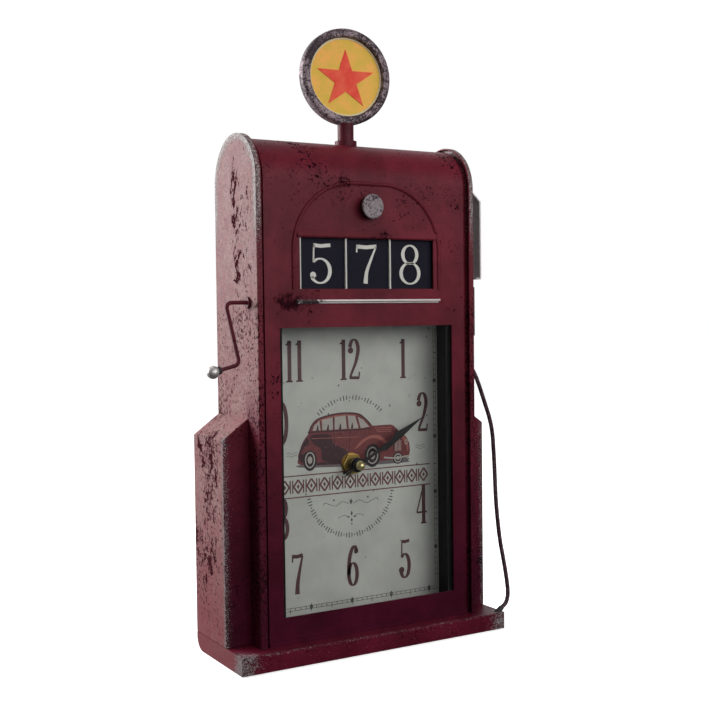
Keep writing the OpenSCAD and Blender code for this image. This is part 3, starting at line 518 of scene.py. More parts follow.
def circuit_finish():
    """Green solder mask over copper tracks."""
    s = Shader("solder_mask")
    grid = s.add("ShaderNodeTexBrick", {"Vector": s.place, "Scale": 240.0, "Mortar Size": 0.03})
    track = s.step(grid.outputs["Fac"], 0.4, 0.6)
    colour = s.blend(track, rgb(22, 82, 50), rgb(44, 116, 66))
    return s.done(Base_Color=colour, Roughness=0.35, Normal=s.bump(track, 0.03))


def sleeve_finish():
    """Printed cell sleeve: dark body with a copper-coloured band at the button end."""
    s = Shader("cell_sleeve")
    low, high = corner("battery"), corner("battery", low=False)
    band = s.step(s.axis(0), high.x - 14.6, high.x - 14.4)
    cap = s.step(s.axis(0), high.x - 1.3, high.x - 1.2)
    colour = s.blend(band, rgb(34, 36, 40), rgb(176, 112, 62))
    colour = s.blend(cap, colour, rgb(186, 186, 182))
    shrink = s.step(s.axis(0), low.x, low.x + 2.0)
    return s.done(Base_Color=colour, Roughness=s.level(shrink, 0.5, 0.28), Metallic=s.level(cap, 0.35, 1.0),
                  Normal=s.bump(s.noise(2.0), 0.02))


def rubber_finish(name="hose_rubber"):
    """Black rubber with a fine woven cover."""
    s = Shader(name)
    x, y, z = (s.math("MULTIPLY", s.axis(i), 2 * math.pi / WEAVE_PITCH) for i in range(3))
    left = s.math("SINE", s.math("ADD", s.math("ADD", x, y), z))
    right = s.math("SINE", s.math("SUBTRACT", s.math("ADD", x, y), z))
    weave = s.math("MAXIMUM", left, right)
    dust = s.step(s.noise(1.8, 4.0, 0.75), 0.46, 0.62)
    colour = s.blend(dust, rgb(40, 16, 26), rgb(104, 74, 82))
    return s.done(Base_Color=colour, Roughness=s.level(dust, 0.5, 0.75), Normal=s.bump(weave, 0.08),
                  Specular_IOR_Level=0.3)


def glass_finish():
    """Clear pane: what is behind shows straight through, with a gloss that grows at low angles."""
    s = Shader("window_pane")
    nodes = s.tree.nodes
    nodes.remove(s.bsdf)
    film = s.noise(24.0, 3.0, 0.6)
    bend = s.add("ShaderNodeFresnel", {"IOR": 1.25})
    clear = s.add("ShaderNodeBsdfTransparent", {"Color": (0.98, 0.98, 0.98, 1.0)})
    gloss = s.add("ShaderNodeBsdfGlossy", {"Color": (0.95, 0.97, 1.0, 1.0),
                                            "Roughness": s.level(film, 0.01, 0.05)})
    mixed = s.add("ShaderNodeMixShader", {0: bend.outputs[0], 1: clear.outputs[0], 2: gloss.outputs[0]})
    s.tree.links.new(mixed.outputs[0], nodes["Material Output"].inputs["Surface"])
    return s.material


# -------------------------------- hose

HOSE_DIAMETER = 3.0
HOSE_ROUTE = [
    (91.2, -8, 200), (91.5, -8, 195), (93.5, -8, 190), (97, -8.5, 185.5), (100, -9, 180.5),
    (102.5, -10, 174), (105, -11, 166), (107.5, -12, 157.5), (109.9, -13.5, 148), (111.2, -15, 138),
    (111.2, -16.5, 126), (110.8, -18, 114), (109.8, -20, 102), (109, -22, 88), (108.8, -24, 75),
    (109, -26.5, 60), (109.7, -29, 48), (109.9, -31.2, 39), (109.7, -33.2, 31.5), (109, -35, 25.4),
    (107.2, -36.7, 20.6), (104.8, -37.5, 17.3), (101.404, -37.6, 14.924),
]


def make_hose():
    """The hose from the nozzle swivel down to its gland on the plinth."""
    curve = bpy.data.curves.new("hose_rubber", "CURVE")
    curve.dimensions = "3D"
    curve.bevel_depth = HOSE_DIAMETER / 2 * MM
    curve.bevel_resolution = 4
    curve.resolution_u = 6
    curve.use_fill_caps = True
    spline = curve.splines.new("BEZIER")
    spline.bezier_points.add(len(HOSE_ROUTE) - 1)
    for point, place in zip(spline.bezier_points, HOSE_ROUTE):
        point.co = Vector(place) * MM
        point.handle_left_type = point.handle_right_type = "AUTO"
    hose = bpy.data.objects.new("hose_rubber", curve)
    bpy.context.scene.collection.objects.link(hose)
    curve.materials.append(rubber_finish())
    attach(hose, CASE)
    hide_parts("hose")


make_hose()


# -------------------------------- CAD nodes: finish and soft edges


MERGE_GAP = 1e-6
SMOOTH_BELOW, ROUND_ABOVE = math.radians(32), math.radians(40)


def clean_group():
    """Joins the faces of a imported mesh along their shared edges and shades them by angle."""
    group = bpy.data.node_groups.new("clean_mesh", "GeometryNodeTree")
    for way in ("INPUT", "OUTPUT"):
        group.interface.new_socket("Geometry", in_out=way, socket_type="NodeSocketGeometry")
    nodes, links = group.nodes, group.links
    start, end = nodes.new("NodeGroupInput"), nodes.new("NodeGroupOutput")
    forget = nodes.new("GeometryNodeRemoveAttribute")
    forget.inputs["Name"].default_value = "custom_normal"
    merge = nodes.new("GeometryNodeMergeByDistance")
    merge.inputs["Distance"].default_value = MERGE_GAP
    smooth = nodes.new("GeometryNodeSetShadeSmooth")
    smooth.domain = "FACE"
    angle = nodes.new("GeometryNodeInputMeshEdgeAngle")
    sharp = nodes.new("FunctionNodeCompare")
    sharp.inputs[1].default_value = SMOOTH_BELOW
    crease = nodes.new("GeometryNodeSetShadeSmooth")
    crease.domain = "EDGE"
    crease.inputs["Shade Smooth"].default_value = False
    links.new(angle.outputs["Unsigned Angle"], sharp.inputs[0])
    links.new(sharp.outputs[0], crease.inputs["Selection"])
    chain = [start, forget, merge, smooth, crease, end]
    for a, b in zip(chain, chain[1:]):
        links.new(a.outputs[0], b.inputs[0])
    return group


CLEAN = clean_group()


def finish_node(name, material, bevel=0.0, segments=2):
    """Gives a CAD node its material, and rounds its sharp edges by bevel millimetres."""
    node = NODES[name]
    node.data.materials.clear()
    node.data.materials.append(material)
    clean = node.modifiers.new("clean", "NODES")
    clean.node_group = CLEAN
    if bevel:
        edge = node.modifiers.new("edge", "BEVEL")
        edge.width = bevel * MM
        edge.segments = segments
        edge.limit_method = "ANGLE"
        edge.angle_limit = ROUND_ABOVE
        edge.harden_normals = True
        edge.use_clamp_overlap = True


def finish_nodes():
    front = paint("paint_front", chips=0.5, specks=0.4, scatter=front_scatter, dark_patch=front_dark_patch, stretch=0.9,
                  grain=1.4, blot=3.0)
    side = paint("paint_side", chips=0.5, specks=0.3, rub=rim_rub, painted_sheen=panel_sheen,
                 scatter=panel_scatter, stretch=0.7, grain=2.0, blot=4.6)
    pod = paint("paint_pod", chips=1.1, specks=1.4, rub=pod_rub, painted_sheen=pod_sheen, stretch=0.75, grain=2.0,
                blot=5.0)
    base = paint("paint_base", chips=0.5, specks=1.1, rub=corner_rub, painted_sheen=plinth_sheen,
                 low=rgb(96, 22, 42), grain=1.6)
    wire = paint("paint_wire", chips=0.5, specks=1.0, colour=rgb(84, 30, 40), low=rgb(84, 30, 40))
    ring = worn_metal("ring_grey", rgb(166, 146, 152), rgb(46, 28, 38), grain=1.1, cover=0.42, metallic=0.3,
                      rough=0.55)
    silver = worn_metal("silver_worn", rgb(214, 208, 206), rgb(92, 84, 84), grain=1.1, cover=0.75)
    knob = worn_metal("knob_worn", rgb(156, 144, 148), rgb(50, 30, 40), grain=1.1, cover=0.5, metallic=0.2,
                      rough=0.6, more=face_only)
    ledge = worn_metal("ledge_worn", rgb(214, 204, 202), rgb(58, 36, 44), cover=0.8, more=bright_right)
    plate = worn_metal("grey_worn", rgb(226, 218, 220), rgb(66, 44, 52), grain=1.3, cover=0.55, metallic=0.2,
                       rough=0.6, more=bright_outside)
    dark = worn_metal("dark_metal", rgb(96, 92, 94), rgb(40, 34, 37), grain=1.4, cover=0.35)
    steel = plain_metal("zinc_steel", rgb(170, 170, 174))
    brass = plain_metal("brass", rgb(196, 164, 92), rough=0.28)
    pale_brass = plain_metal("pale_brass", rgb(232, 218, 160), rough=0.35)
    enamel = plastic("hand_enamel", rgb(12, 10, 12), rough=0.45)
    liner = plastic("liner_black", rgb(9, 8, 11), rough=0.75, relief=0.04)
    black = plastic("case_plastic", rgb(28, 28, 31))
    nylon = plastic("gear_nylon", rgb(222, 220, 210), rough=0.4)
    white = plastic("divider_white", rgb(204, 202, 194), rough=0.5)
    cream = plastic("bezel_cream", rgb(222, 206, 168), rough=0.5)
    card = card_finish()
    rubber = rubber_finish("washer_rubber")
    looks = (
        (front, 0.35, "front_skin"), (front, 0.3, "back_cover"), (side, 0.5, "left_panel right_panel"),
        (pod, 0.6, "left_pod right_pod"), (base, 0.8, "base_plinth"), (felt_finish(), 0.0, "felt_pad"),
        (dark, 0.2, "base_plate knob_washer crank_collar"), (dark, 0.3, "nozzle hose_gland"),
        (steel, 0.2, "plate_screws panel_screws box_clips battery_contacts nozzle_trigger"),
        (steel, 0.25, "back_screws"), (steel, 0.3, "knob_nut post_nut crank_retainer"),
        (liner, 0.0, "counter_tray"), (liner, 0.2, "dial_box"), (white, 0.25, "card_dividers"),
        (card, 0.1, "card_hundreds card_tens card_units"), (ledge, 0.3, "counter_ledge"),
        (knob, 0.0, "arch_knob"), (ring, 0.0, "globe_ring"), (wire, 0.0, "crank"),
        (wire, 0.3, "globe_post crank_bush"), (wire, 0.4, "post_collar"), (silver, 0.0, "crank_ball"),
        (disc_finish(), 0.1, "globe_discs"), (star_finish(), 0.1, "globe_star"), (cream, 0.15, "globe_bezel"),
        (glass_finish(), 0.0, "window_glass"), (board_finish(), 0.2, "dial_board"),
        (paper_finish(), 0.0, "dial_paper"), (black, 0.2, "setting_knob"), (black, 0.4, "drive_module"),
        (black, 0.3, "movement_case movement_cover"), (rubber, 0.0, "hose"), (rubber, 0.2, "rubber_washer"),
        (brass, 0.2, "dial_washer"), (brass, 0.4, "dial_nut"), (pale_brass, 0.0, "cap_nut"),
        (nylon, 0.0, "hour_wheel minute_arbor setting_wheel"), (enamel, 0.1, "hour_hand minute_hand"),
        (copper_finish(), 0.0, "coil"), (circuit_finish(), 0.1, "circuit_board"),
        (sleeve_finish(), 0.4, "battery"), (plate, 0.4, "holster"),
    )
    for material, bevel, names in looks:
        for name in names.split():
            finish_node(name, material, bevel)


finish_nodes()


# -------------------------------- printing


def arc(x, z, rx, rz, start, end, steps=26):
    """Points along part of an ellipse; angles in degrees, counter-clockwise from +X."""
    turns = (math.radians(start + (end - start) * i / steps) for i in range(steps + 1))
    return [(x + rx * math.cos(a), z + rz * math.sin(a)) for a in turns]


def smooth(points, closed=False, steps=6):
    """A smooth line through points."""
    count = len(points)
    out = []

    def point(i):
        return points[i % count if closed else min(max(i, 0), count - 1)]

    for i in range(count if closed else count - 1):
        a, b, c, d = (point(i + k) for k in (-1, 0, 1, 2))
        for k in range(steps):
            t = k / steps
            out.append(tuple(
                0.5 * (2 * q + (r - p) * t + (2 * p - 5 * q + 4 * r - s) * t * t
                       + (3 * q - p - 3 * r + s) * t ** 3)
                for p, q, r, s in zip(a, b, c, d)
            ))
    return out if closed else out + [points[-1]]


class Print:
    """Thin raised ink in X and Z millimetres on a face at depth y. Each layer lies a little prouder."""

    LAYER = 0.012
    THICK = 0.03

    def __init__(self, name, y, material, layer=0):
        self.name, self.material = name, material
        self.back = y + 0.01
        self.front = y - self.THICK - layer * self.LAYER
        self.mesh = bmesh.new()

    def rows(self, outline):
        return [[self.mesh.verts.new((x * MM, y * MM, z * MM)) for x, z in outline]
                for y in (self.front, self.back)]

    def fill(self, outline):
        """A filled closed shape."""
        front, back = self.rows(outline)
        self.mesh.faces.new(front)
        self.mesh.faces.new(back[::-1])
        for i in range(len(front)):
            k = (i + 1) % len(front)
            self.mesh.faces.new((front[k], front[i], back[i], back[k]))

    def stroke(self, line, thick, thin=None, closed=False, taper=None):
        """A pen line: thick where it runs upright and thin where it runs level. taper scales its ends."""
        thin = thick if thin is None else thin
        count = len(line)
        left, right = [], []
        for i, (x, z) in enumerate(line):
            if closed:
                ahead, behind = line[(i + 1) % count], line[i - 1]
            else:
                ahead, behind = line[min(i + 1, count - 1)], line[max(i - 1, 0)]
            dx, dz = ahead[0] - behind[0], ahead[1] - behind[1]
            norm = math.hypot(dx, dz) or 1.0
            width = thin + (thick - thin) * abs(dz / norm) ** 1.6
            if taper:
                width *= taper[0] + (taper[1] - taper[0]) * i / (count - 1)
            ox, oz = -dz / norm * width / 2, dx / norm * width / 2
            left.append((x + ox, z + oz))
            right.append((x - ox, z - oz))
        if not closed:
            self.fill(left + right[::-1])
            return
        (lf, lb), (rf, rb) = self.rows(left), self.rows(right)
        for i in range(count):
            k = (i + 1) % count
            for quad in ((lf[i], lf[k], rf[k], rf[i]), (lb[k], lb[i], rb[i], rb[k]),
                         (lf[k], lf[i], lb[i], lb[k]), (rf[i], rf[k], rb[k], rb[i])):
                self.mesh.faces.new(quad)

    def dot(self, x, z, rx, rz=None, steps=16):
        self.fill(arc(x, z, rx, rz or rx, 0, 360 - 360 / steps, steps - 1))

    def lozenge(self, x, z, rx, rz, line=None):
        points = [(x + rx, z), (x, z + rz), (x - rx, z), (x, z - rz)]
        if line is None:
            self.fill(points)
        else:
            for a, b in zip(points, points[1:] + points[:1]):
                self.stroke([a, b], line)

    def done(self, slot="dial_print"):
        bmesh.ops.recalc_face_normals(self.mesh, faces=self.mesh.faces)
        bmesh.ops.triangulate(self.mesh, faces=[f for f in self.mesh.faces if len(f.verts) > 4])
        data = bpy.data.meshes.new(self.name)
        self.mesh.to_mesh(data)
        self.mesh.free()
        data.materials.append(self.material)
        piece = bpy.data.objects.new(self.name, data)
        bpy.context.scene.collection.objects.link(piece)
        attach(piece, CASE)
        return piece


def draw_digit(sheet, digit, x, z, width, height, thick, thin):
    """A serif numeral whose box starts at x, z."""

    def at(points):
        return [(x + px * width, z + pz * height) for px, pz in points]

    def bowl(cx, cz, rx, rz, start=0, end=360):
        closed = abs(end - start) == 360
        points = arc(cx, cz, rx, rz, start, end if not closed else end - 360 / 32, 31 if closed else 26)
        sheet.stroke(at(points), thick, thin, closed=closed)

    def bar(points, weight=None, taper=None):
        sheet.stroke(at(points), weight or thick, weight or thin, taper=taper)

    def ball(cx, cz, size=0.75):
        sheet.dot(x + cx * width, z + cz * height, thick * size)

    low = thin / height / 2
    if digit == "0":
        bowl(0.5, 0.5, 0.42, 0.49)
    elif digit == "1":
        bar([(0.58, low), (0.58, 0.99)])
        bar([(0.14, low), (1.0, low)], thin)
        bar(smooth([(0.58, 0.985), (0.42, 0.92), (0.1, 0.89)]), thin * 1.5, (1.2, 0.6))
    elif digit == "2":
        bowl(0.48, 0.75, 0.37, 0.235, 168, -28)
        bar(smooth([(0.81, 0.64), (0.62, 0.42), (0.3, 0.2), (0.1, 0.05)]), None, (1.0, 0.6))
        bar([(0.06, 0.05), (0.9, 0.04)], thin * 1.9)
        bar([(0.9, 0.02), (0.95, 0.19)], thin)
        ball(0.17, 0.72)
    elif digit == "4":
        bar([(0.66, 0.98), (0.03, 0.31)], thin)
        bar([(0.0, 0.3), (1.0, 0.3)], thin * 1.2)
        bar([(0.68, low), (0.68, 0.99)])
        bar([(0.4, low), (0.96, low)], thin)
    elif digit == "5":
        bar([(0.16, 0.95), (0.5, 0.93), (0.9, 0.955)], thin * 2.1)
        bar([(0.19, 0.97), (0.16, 0.53)], thin)
        bowl(0.45, 0.32, 0.42, 0.3, 132, -150)
        ball(0.14, 0.215, 0.8)
    elif digit == "6":
        bar(smooth([(0.84, 0.86), (0.68, 0.975), (0.46, 0.93), (0.24, 0.74), (0.13, 0.5), (0.13, 0.28)]))
        bowl(0.5, 0.29, 0.37, 0.275)
        ball(0.8, 0.85, 0.6)
    elif digit == "7":
        bar([(0.08, 0.935), (0.5, 0.92), (0.95, 0.95)], thin * 2.3)
        bar([(0.08, 0.98), (0.06, 0.79)], thin)
        bar(smooth([(0.93, 0.94), (0.7, 0.62), (0.5, 0.3), (0.44, 0.01)]), None, (0.45, 1.25))
    elif digit == "8":
        bowl(0.5, 0.755, 0.33, 0.235)
        bowl(0.5, 0.275, 0.42, 0.268)


DIGIT_W, DIGIT_H, DIGIT_GAP = 8.8, 28.0, 1.7
DIGIT_PENS = (2.9, 1.1)
NARROW = 0.66
HOURS = {
    "12": (0.2, 179.2), "1": (43.3, 178.6), "2": (59.8, 139.8), "4": (58.4, 73.6), "5": (43.9, 36.2),
    "6": (0.9, 36.4), "7": (-42.0, 36.0), "8": (-53.0, 74.0), "10": (-56.4, 138.2), "11": (-42.8, 179.4),
}


def print_hours(y, colour):
    """The numerals; the banner takes the place of three and nine."""
    sheet = Print("dial_numerals", y, colour)
    for label, (middle, base) in HOURS.items():
        widths = [DIGIT_W * (NARROW if c == "1" else 1.0) for c in label]
        x = middle - (sum(widths) + DIGIT_GAP * (len(label) - 1)) / 2
        for c, width in zip(label, widths):
            draw_digit(sheet, c, x, base, width, DIGIT_H, *DIGIT_PENS)
            x += width + DIGIT_GAP
    sheet.done()


BANNER_X = (-66.0, 65.5)
BANNER_Z = (101.7, 116.3)


def print_banner(y, colour):
    """Two rules with a row of lozenges and bars between them."""
    sheet = Print("dial_banner", y, colour)
    for z in BANNER_Z:
        sheet.stroke([(BANNER_X[0], z), (BANNER_X[1], z)], 0.8)
    middle = sum(BANNER_Z) / 2
    pitch = 10.1
    for i in range(13):
        x = BANNER_X[0] + 5.0 + i * pitch
        sheet.lozenge(x, middle, 3.4, 4.6, 1.25)
        sheet.lozenge(x, middle, 1.1, 1.7)
        if i < 12:
            for side in (-0.95, 0.95):
                bar = x + pitch / 2 + side
                sheet.stroke([(bar, middle - 4.4), (bar, middle + 4.4)], 0.95)
    sheet.done()


def print_border(y, colour):
    """A double frame line with a scale along the sides and the foot."""
    sheet = Print("dial_border", y, colour)
    side, foot, head = 69.4, 27.3, 217.0
    for inset in (0.0, -1.9):
        x, z0, z1 = side - inset, foot + inset, head - inset
        for line in ([(-x, z0), (x, z0)], [(-x, z1), (x, z1)], [(-x, z0), (-x, z1)], [(x, z0), (x, z1)]):
            sheet.stroke(line, 0.35)
    for i in range(33):
        x = -64.0 + i * 4.0
        long = 3.6 if i % 4 == 0 else 1.9
        sheet.stroke([(x, foot), (x, foot - long)], 0.5)
        if i % 8 == 0:
            sheet.lozenge(x, foot - 0.8, 1.5, 2.4)
    for i in range(43):
        z = 36.0 + i * 4.0
        for sign in (-1, 1):
            long = 2.6 if i % 5 == 0 else 1.3
            sheet.stroke([(sign * side, z), (sign * (side + long), z)], 0.5)
            if i % 10 == 5:
                sheet.lozenge(sign * (side + 0.6), z, 1.4, 1.9)
    sheet.done()


def print_ornament(y, colour):
    """Arcs of ticks and dots over and under the car, a scroll, a small rosette and two wavy lines."""
    sheet = Print("dial_ornament", y, colour)

    def ring(x, z, radius, start, end, count, size):
        for i in range(count):
            angle = math.radians(start + (end - start) * i / (count - 1))
            ux, uz = math.cos(angle), math.sin(angle)
            if i % 4 == 3:
                sheet.dot(x + radius * ux, z + radius * uz, 0.55)
            else:
                reach = size * (0.5 if i % 2 else 0.38)
                ends = [(x + (radius + s * reach) * ux, z + (radius + s * reach) * uz) for s in (-1, 1)]
                sheet.stroke(ends, 0.75)

    ring(0, 131.5, 35.5, 134, 46, 23, 3.6)
    ring(0.4, 105.5, 33.5, 190, 350, 45, 3.8)
    for sign in (-1, 1):
        sheet.stroke(smooth([(sign * 2, 93.8), (sign * 7, 95.6), (sign * 12, 93.2), (sign * 17, 94.6),
                             (sign * 20.5, 96.0), (sign * 21.8, 94.4)]), 0.5, 0.35)
        sheet.stroke(smooth([(sign * 1.5, 84.4), (sign * 5.5, 86.0), (sign * 10.5, 84.6)]), 0.35)
        sheet.dot(sign * 13.5, 97.2, 0.7)
        sheet.lozenge(0.4 + sign * 2.6, 84.6, 1.5, 0.6)
    sheet.lozenge(0.4, 86.9, 0.9, 1.9)
    sheet.lozenge(0.4, 82.4, 0.9, 1.5)
    sheet.dot(0.4, 79.6, 0.6)
    sheet.lozenge(0.0, 95.2, 1.3, 2.1)
    for x, z in ((53.6, 130.0), (-49.0, 131.6)):
        for drop in (0.0, 1.8):
            wave = [(x + k * 1.3, z - drop + 0.55 * math.sin(k * 1.6)) for k in range(7)]
            sheet.stroke(smooth(wave), 0.3)
    sheet.done()


SPECK_COUNT = 46


def print_specks(y, colour):
    """Small dark age specks, scattered but kept to the open parts of the card."""
    sheet = Print("dial_specks", y, colour)
    for _ in range(SPECK_COUNT):
        x, z = random.uniform(-62, 66), random.uniform(31, 214)
        size = random.uniform(0.2, 0.62)
        stretch = random.uniform(0.8, 1.9)
        sheet.dot(x, z, size, size * stretch, 7)
    sheet.done()


CAR_ROOF = ((-32.4, 144.2), (-30, 149.4), (-25.4, 153.4), (-15, 155.9), (-4, 156.6), (6.5, 155.4),
            (12.6, 151.4), (17, 146.9))


def print_car(y):
    """A plain four-door sedan in side view, built up in layers of ink."""
    inks = {
        "burgundy": ink("ink_burgundy", rgb(112, 52, 54)), "dark": ink("ink_plum", rgb(62, 34, 42)),
        "rose": ink("ink_rose", rgb(158, 92, 82)), "black": ink("ink_black", rgb(40, 32, 38)),
        "pale": ink("ink_pale", rgb(172, 166, 158)), "slate": ink("ink_slate", rgb(104, 96, 98)),
    }
    layer = [0]

    def sheet(part, tone):
        layer[0] += 1
        return Print("car_" + part, y, inks[tone], layer[0])

    shadow = sheet("shadow", "slate")
    shadow.fill(smooth([(-37, 121.5), (0, 119.6), (44, 118.8), (47, 120), (40, 122.5), (-34, 123.6)], True))
    shadow.done()

    body = sheet("body", "burgundy")
    body.fill(smooth([
        (-40.5, 128), (-39, 134), (-36, 140), *CAR_ROOF, (26, 146.5), (33.6, 146.2), (37.6, 143.4),
        (41.5, 140), (46, 136.6), (48.3, 131.5), (48.3, 125), (44, 122), (8, 121.4), (-36, 123),
    ], True, 5))
    body.done()

    shadows = sheet("shade", "dark")
    shadows.fill(smooth([(-40.2, 128), (-38.6, 134.4), (-34.5, 141), (-32, 139), (-33, 131),
                         (-37, 125)], True))
    shadows.fill(smooth([(-30.5, 142.6), (-16, 142.2), (-13, 136), (-3, 130.5), (-3, 124), (-21, 124.6),
                         (-23, 133), (-29, 137)], True))
    shadows.stroke(smooth(CAR_ROOF), 0.9)
    shadows.stroke([(-33, 145.0), (17, 144.4)], 0.8)
    shadows.stroke([(-34, 123.4), (6, 122.3)], 1.6)
    shadows.stroke(smooth([(37.8, 143.2), (35.6, 136), (35.4, 128)]), 1.0)
    shadows.done()

    lights = sheet("light", "rose")
    lights.stroke(smooth([(-25, 152.2), (-15, 154.5), (-4, 155.2), (5, 154.2)]), 0.9)
    for k in range(3):
        lights.stroke([(19.5 + k, 144.9 - 1.4 * k), (34.0 - k * 0.4, 144.5 - 1.4 * k)], 0.45)
    lights.stroke(smooth([(-30, 140.6), (-12, 140.0), (6, 139.4)]), 0.5)
    lights.fill(smooth([(3.5, 131), (9, 136.8), (16, 139.6), (23, 139.4), (28.5, 135.6), (31, 130),
                        (26, 134.2), (19, 136.2), (11, 134.6)], True))
    lights.fill(smooth([(40.5, 138.6), (45, 136.8), (47.3, 131.4), (47.0, 126), (45.4, 131),
                        (43, 135)], True))
    lights.done()

    windows = sheet("windows", "pale")
    for outline in (
        [(-29.4, 145.9), (-27.8, 149.6), (-24.0, 152.4), (-23.2, 145.8)],
        [(-21.8, 145.8), (-22.2, 152.8), (-13.6, 154.1), (-13.6, 145.7)],
        [(-12.2, 145.7), (-12.2, 154.3), (-3.6, 154.8), (-2.6, 145.5)],
        [(-1.0, 145.5), (-1.8, 154.7), (4.0, 154.1), (6.8, 145.3)],
        [(8.4, 145.3), (6.2, 153.4), (10.6, 151.0), (15.4, 146.0)],
    ):
        windows.fill(outline)
    windows.done()

    frames = sheet("frames", "dark")
    for x in (-25.6, -17.6, -8.0, 1.4):
        frames.stroke([(x, 145.6), (x + 0.4, 149.4)], 1.9, taper=(1.0, 0.3))
    frames.stroke(smooth([(-13.0, 154.0), (-12.8, 144), (-11.6, 124)]), 0.45)
    frames.stroke(smooth([(0.2, 145.4), (-0.4, 138), (-1.6, 127)]), 0.45)
    frames.stroke([(-9.6, 141.9), (-6.8, 141.8)], 0.6)
    frames.done()

    for part, x, z, rx, rz in (("rear", -31.6, 126.6, 5.2, 7.4), ("front", 17.6, 126.2, 6.4, 8.2),
                               ("far", 38.6, 122.8, 4.2, 4.2)):
        tyre = sheet("tyre_" + part, "black")
        tyre.dot(x, z - 0.4, rx, rz, 28)
        tyre.done()
        wall = sheet("wheel_" + part, "pale")
        wall.stroke(arc(x, z - 0.4, rx * 0.66, rz * 0.68, 0, 348, 29), 0.9, closed=True)
        wall.dot(x, z - 0.4, rx * 0.34, rz * 0.34, 20)
        wall.done()
    fenders = sheet("fenders", "burgundy")
    fenders.fill(smooth([(-38.5, 131), (-34.5, 136), (-29.5, 136.2), (-25.6, 131.6), (-24.4, 126),
                         (-27.4, 130.4), (-31.5, 132.8), (-36, 131)], True))
    fenders.fill(smooth([(4.0, 124), (6.4, 131.4), (12.2, 136.4), (19, 137.8), (25.4, 135.2),
                         (29.4, 129.4), (29.6, 124.4), (26, 128.6), (22, 132.6), (16.6, 133.6),
                         (11, 130.8), (8.6, 125.4)], True))
    fenders.done()

    chrome = sheet("chrome", "pale")
    for k in range(5):
        chrome.stroke([(36.6 + k * 1.15, 137.0 - k * 0.5), (36.4 + k * 1.15, 127.6)], 0.4)
    chrome.stroke(smooth([(27, 123.6), (36, 122.6), (48.4, 123.4)]), 1.1)
    chrome.dot(32.4, 133.0, 1.8, 2.3)
    chrome.dot(45.6, 133.4, 1.3, 1.9)
    chrome.done()
    lamps = sheet("lamps", "rose")
    lamps.dot(32.4, 133.0, 1.0, 1.4)
    lamps.dot(45.6, 133.4, 0.7, 1.1)
    lamps.done()


def print_dial():
    y = corner("dial_paper").y
    brown = ink("ink_brown", rgb(84, 52, 55))
    brick = ink("ink_brick", rgb(104, 62, 60))
    grey = ink("ink_grey", rgb(84, 82, 76), bare=0.58)
    print_hours(y, brown)
    print_banner(y, brick)
    print_border(y, grey)
    print_ornament(y, grey)
    print_specks(y, grey)
    print_car(y)


CARD_DIGIT_W, CARD_DIGIT_H = 17.2, 26.4
CARD_PENS = (2.7, 1.1)


def print_cards():
    """White digits on the three counter cards."""
    white = plastic("digit_white", rgb(212, 210, 202), rough=0.55, relief=0.05)
    for node, digit in (("card_hundreds", "5"), ("card_tens", "7"), ("card_units", "8")):
        low, high = corner(node), corner(node, low=False)
        x, z = (low.x + high.x - CARD_DIGIT_W) / 2, (low.z + high.z - CARD_DIGIT_H) / 2
        sheet = Print("digit_" + node[5:], low.y, white)
        draw_digit(sheet, digit, x, z, CARD_DIGIT_W, CARD_DIGIT_H, *CARD_PENS)
        sheet.done("white_plastic")


print_dial()
print_cards()


# -------------------------------- stage and light


STAGE_SIZE = 9.0  # metres, short enough for the reach of every camera
WORLD_RAMPS = ((1, 0.1, 0.62, 0.11), (2, -0.25, -0.02, 0.25))  # axis, from, to, strength at the dim end
LIGHT_TARGET = (0, 0, 0.2)
LIGHTS = (  # name, place in metres, width, height, watts
    ("back_left", (-0.95, 1.0, 0.6), 0.8, 0.8, 30),
    ("front_right", (0.42, -0.9, 0.6), 1.0, 0.7, 5),
    ("front_fill", (-0.15, -1.1, 0.45), 1.0, 0.7, 3.6),
    ("top_soft", (-0.1, 0.1, 1.5), 1.2, 1.2, 3),
)


def floor_finish():
    """Pale grey that glows a little, so that it stays light away from the lamps."""
    s = Shader("stage_floor")
    tone = s.blend(s.noise(300.0), (0.90, 0.90, 0.90), (0.92, 0.92, 0.92))
    return s.done(Base_Color=tone, Roughness=0.9, Emission_Color=tone, Emission_Strength=0.75)


def backdrop_finish():
    """Even white that needs no light."""
    s = Shader("stage_backdrop")
    tone = s.blend(s.noise(2000.0), (0.99, 0.99, 0.99), (1.0, 1.0, 1.0))
    return s.done(Base_Color=(0.0, 0.0, 0.0), Roughness=1.0, Specular_IOR_Level=0.0, Emission_Color=tone,
                  Emission_Strength=1.01)


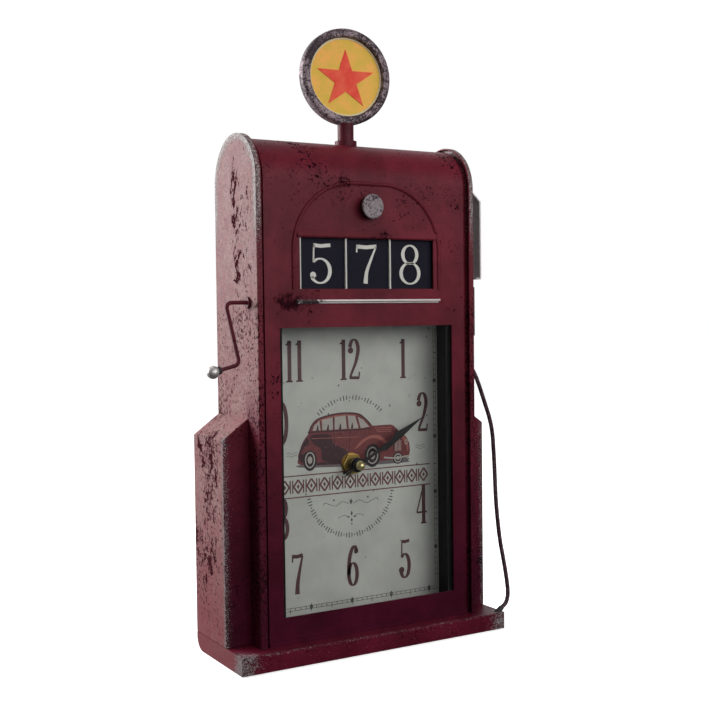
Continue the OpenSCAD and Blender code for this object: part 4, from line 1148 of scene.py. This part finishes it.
def add_stage(name, mesh, material):
    """A piece of the studio that the camera sees but that throws no light or shadow on the object."""
    data = bpy.data.meshes.new(name)
    mesh.to_mesh(data)
    mesh.free()
    data.materials.append(material)
    piece = bpy.data.objects.new(name, data)
    bpy.context.scene.collection.objects.link(piece)
    piece.visible_diffuse = piece.visible_glossy = piece.visible_transmission = piece.visible_shadow = False


def make_backdrop():
    """A pale floor that takes shadows, inside a plain white dome."""
    floor = bmesh.new()
    bmesh.ops.create_grid(floor, x_segments=1, y_segments=1, size=STAGE_SIZE)
    add_stage("floor", floor, floor_finish())
    dome = bmesh.new()
    bmesh.ops.create_uvsphere(dome, u_segments=48, v_segments=24, radius=0.9 * STAGE_SIZE)
    add_stage("backdrop", dome, backdrop_finish())


def make_light(name, place, width, height, power):
    """A soft panel at place that faces the middle of the object."""
    data = bpy.data.lights.new(name, "AREA")
    data.shape = "RECTANGLE"
    data.size, data.size_y = width, height
    data.energy = power
    lamp = bpy.data.objects.new(name, data)
    lamp.location = place
    lamp.rotation_mode = "QUATERNION"
    lamp.rotation_quaternion = (Vector(LIGHT_TARGET) - Vector(place)).to_track_quat("-Z", "Y")
    bpy.context.scene.collection.objects.link(lamp)


def make_world():
    """A white studio: bright behind the object, dim in front of it and below it."""
    world = bpy.data.worlds.new("studio")
    world.use_nodes = True
    bpy.context.scene.world = world
    nodes, links = world.node_tree.nodes, world.node_tree.links
    split = nodes.new("ShaderNodeSeparateXYZ")
    links.new(nodes.new("ShaderNodeTexCoord").outputs["Generated"], split.inputs[0])
    product = nodes.new("ShaderNodeMath")
    product.operation = "MULTIPLY"
    for slot, (axis, low, high, start) in enumerate(WORLD_RAMPS):
        ramp = nodes.new("ShaderNodeMapRange")
        ramp.interpolation_type = "SMOOTHSTEP"
        for key, value in {"From Min": low, "From Max": high, "To Min": start, "To Max": 1.0}.items():
            ramp.inputs[key].default_value = value
        links.new(split.outputs[axis], ramp.inputs["Value"])
        links.new(ramp.outputs[0], product.inputs[slot])
    background = nodes["Background"]
    background.inputs["Color"].default_value = (1, 1, 1, 1)
    links.new(product.outputs[0], background.inputs["Strength"])


def make_studio():
    make_backdrop()
    make_world()
    for light in LIGHTS:
        make_light(*light)
    bpy.context.scene.view_settings.view_transform = "Standard"


make_studio()
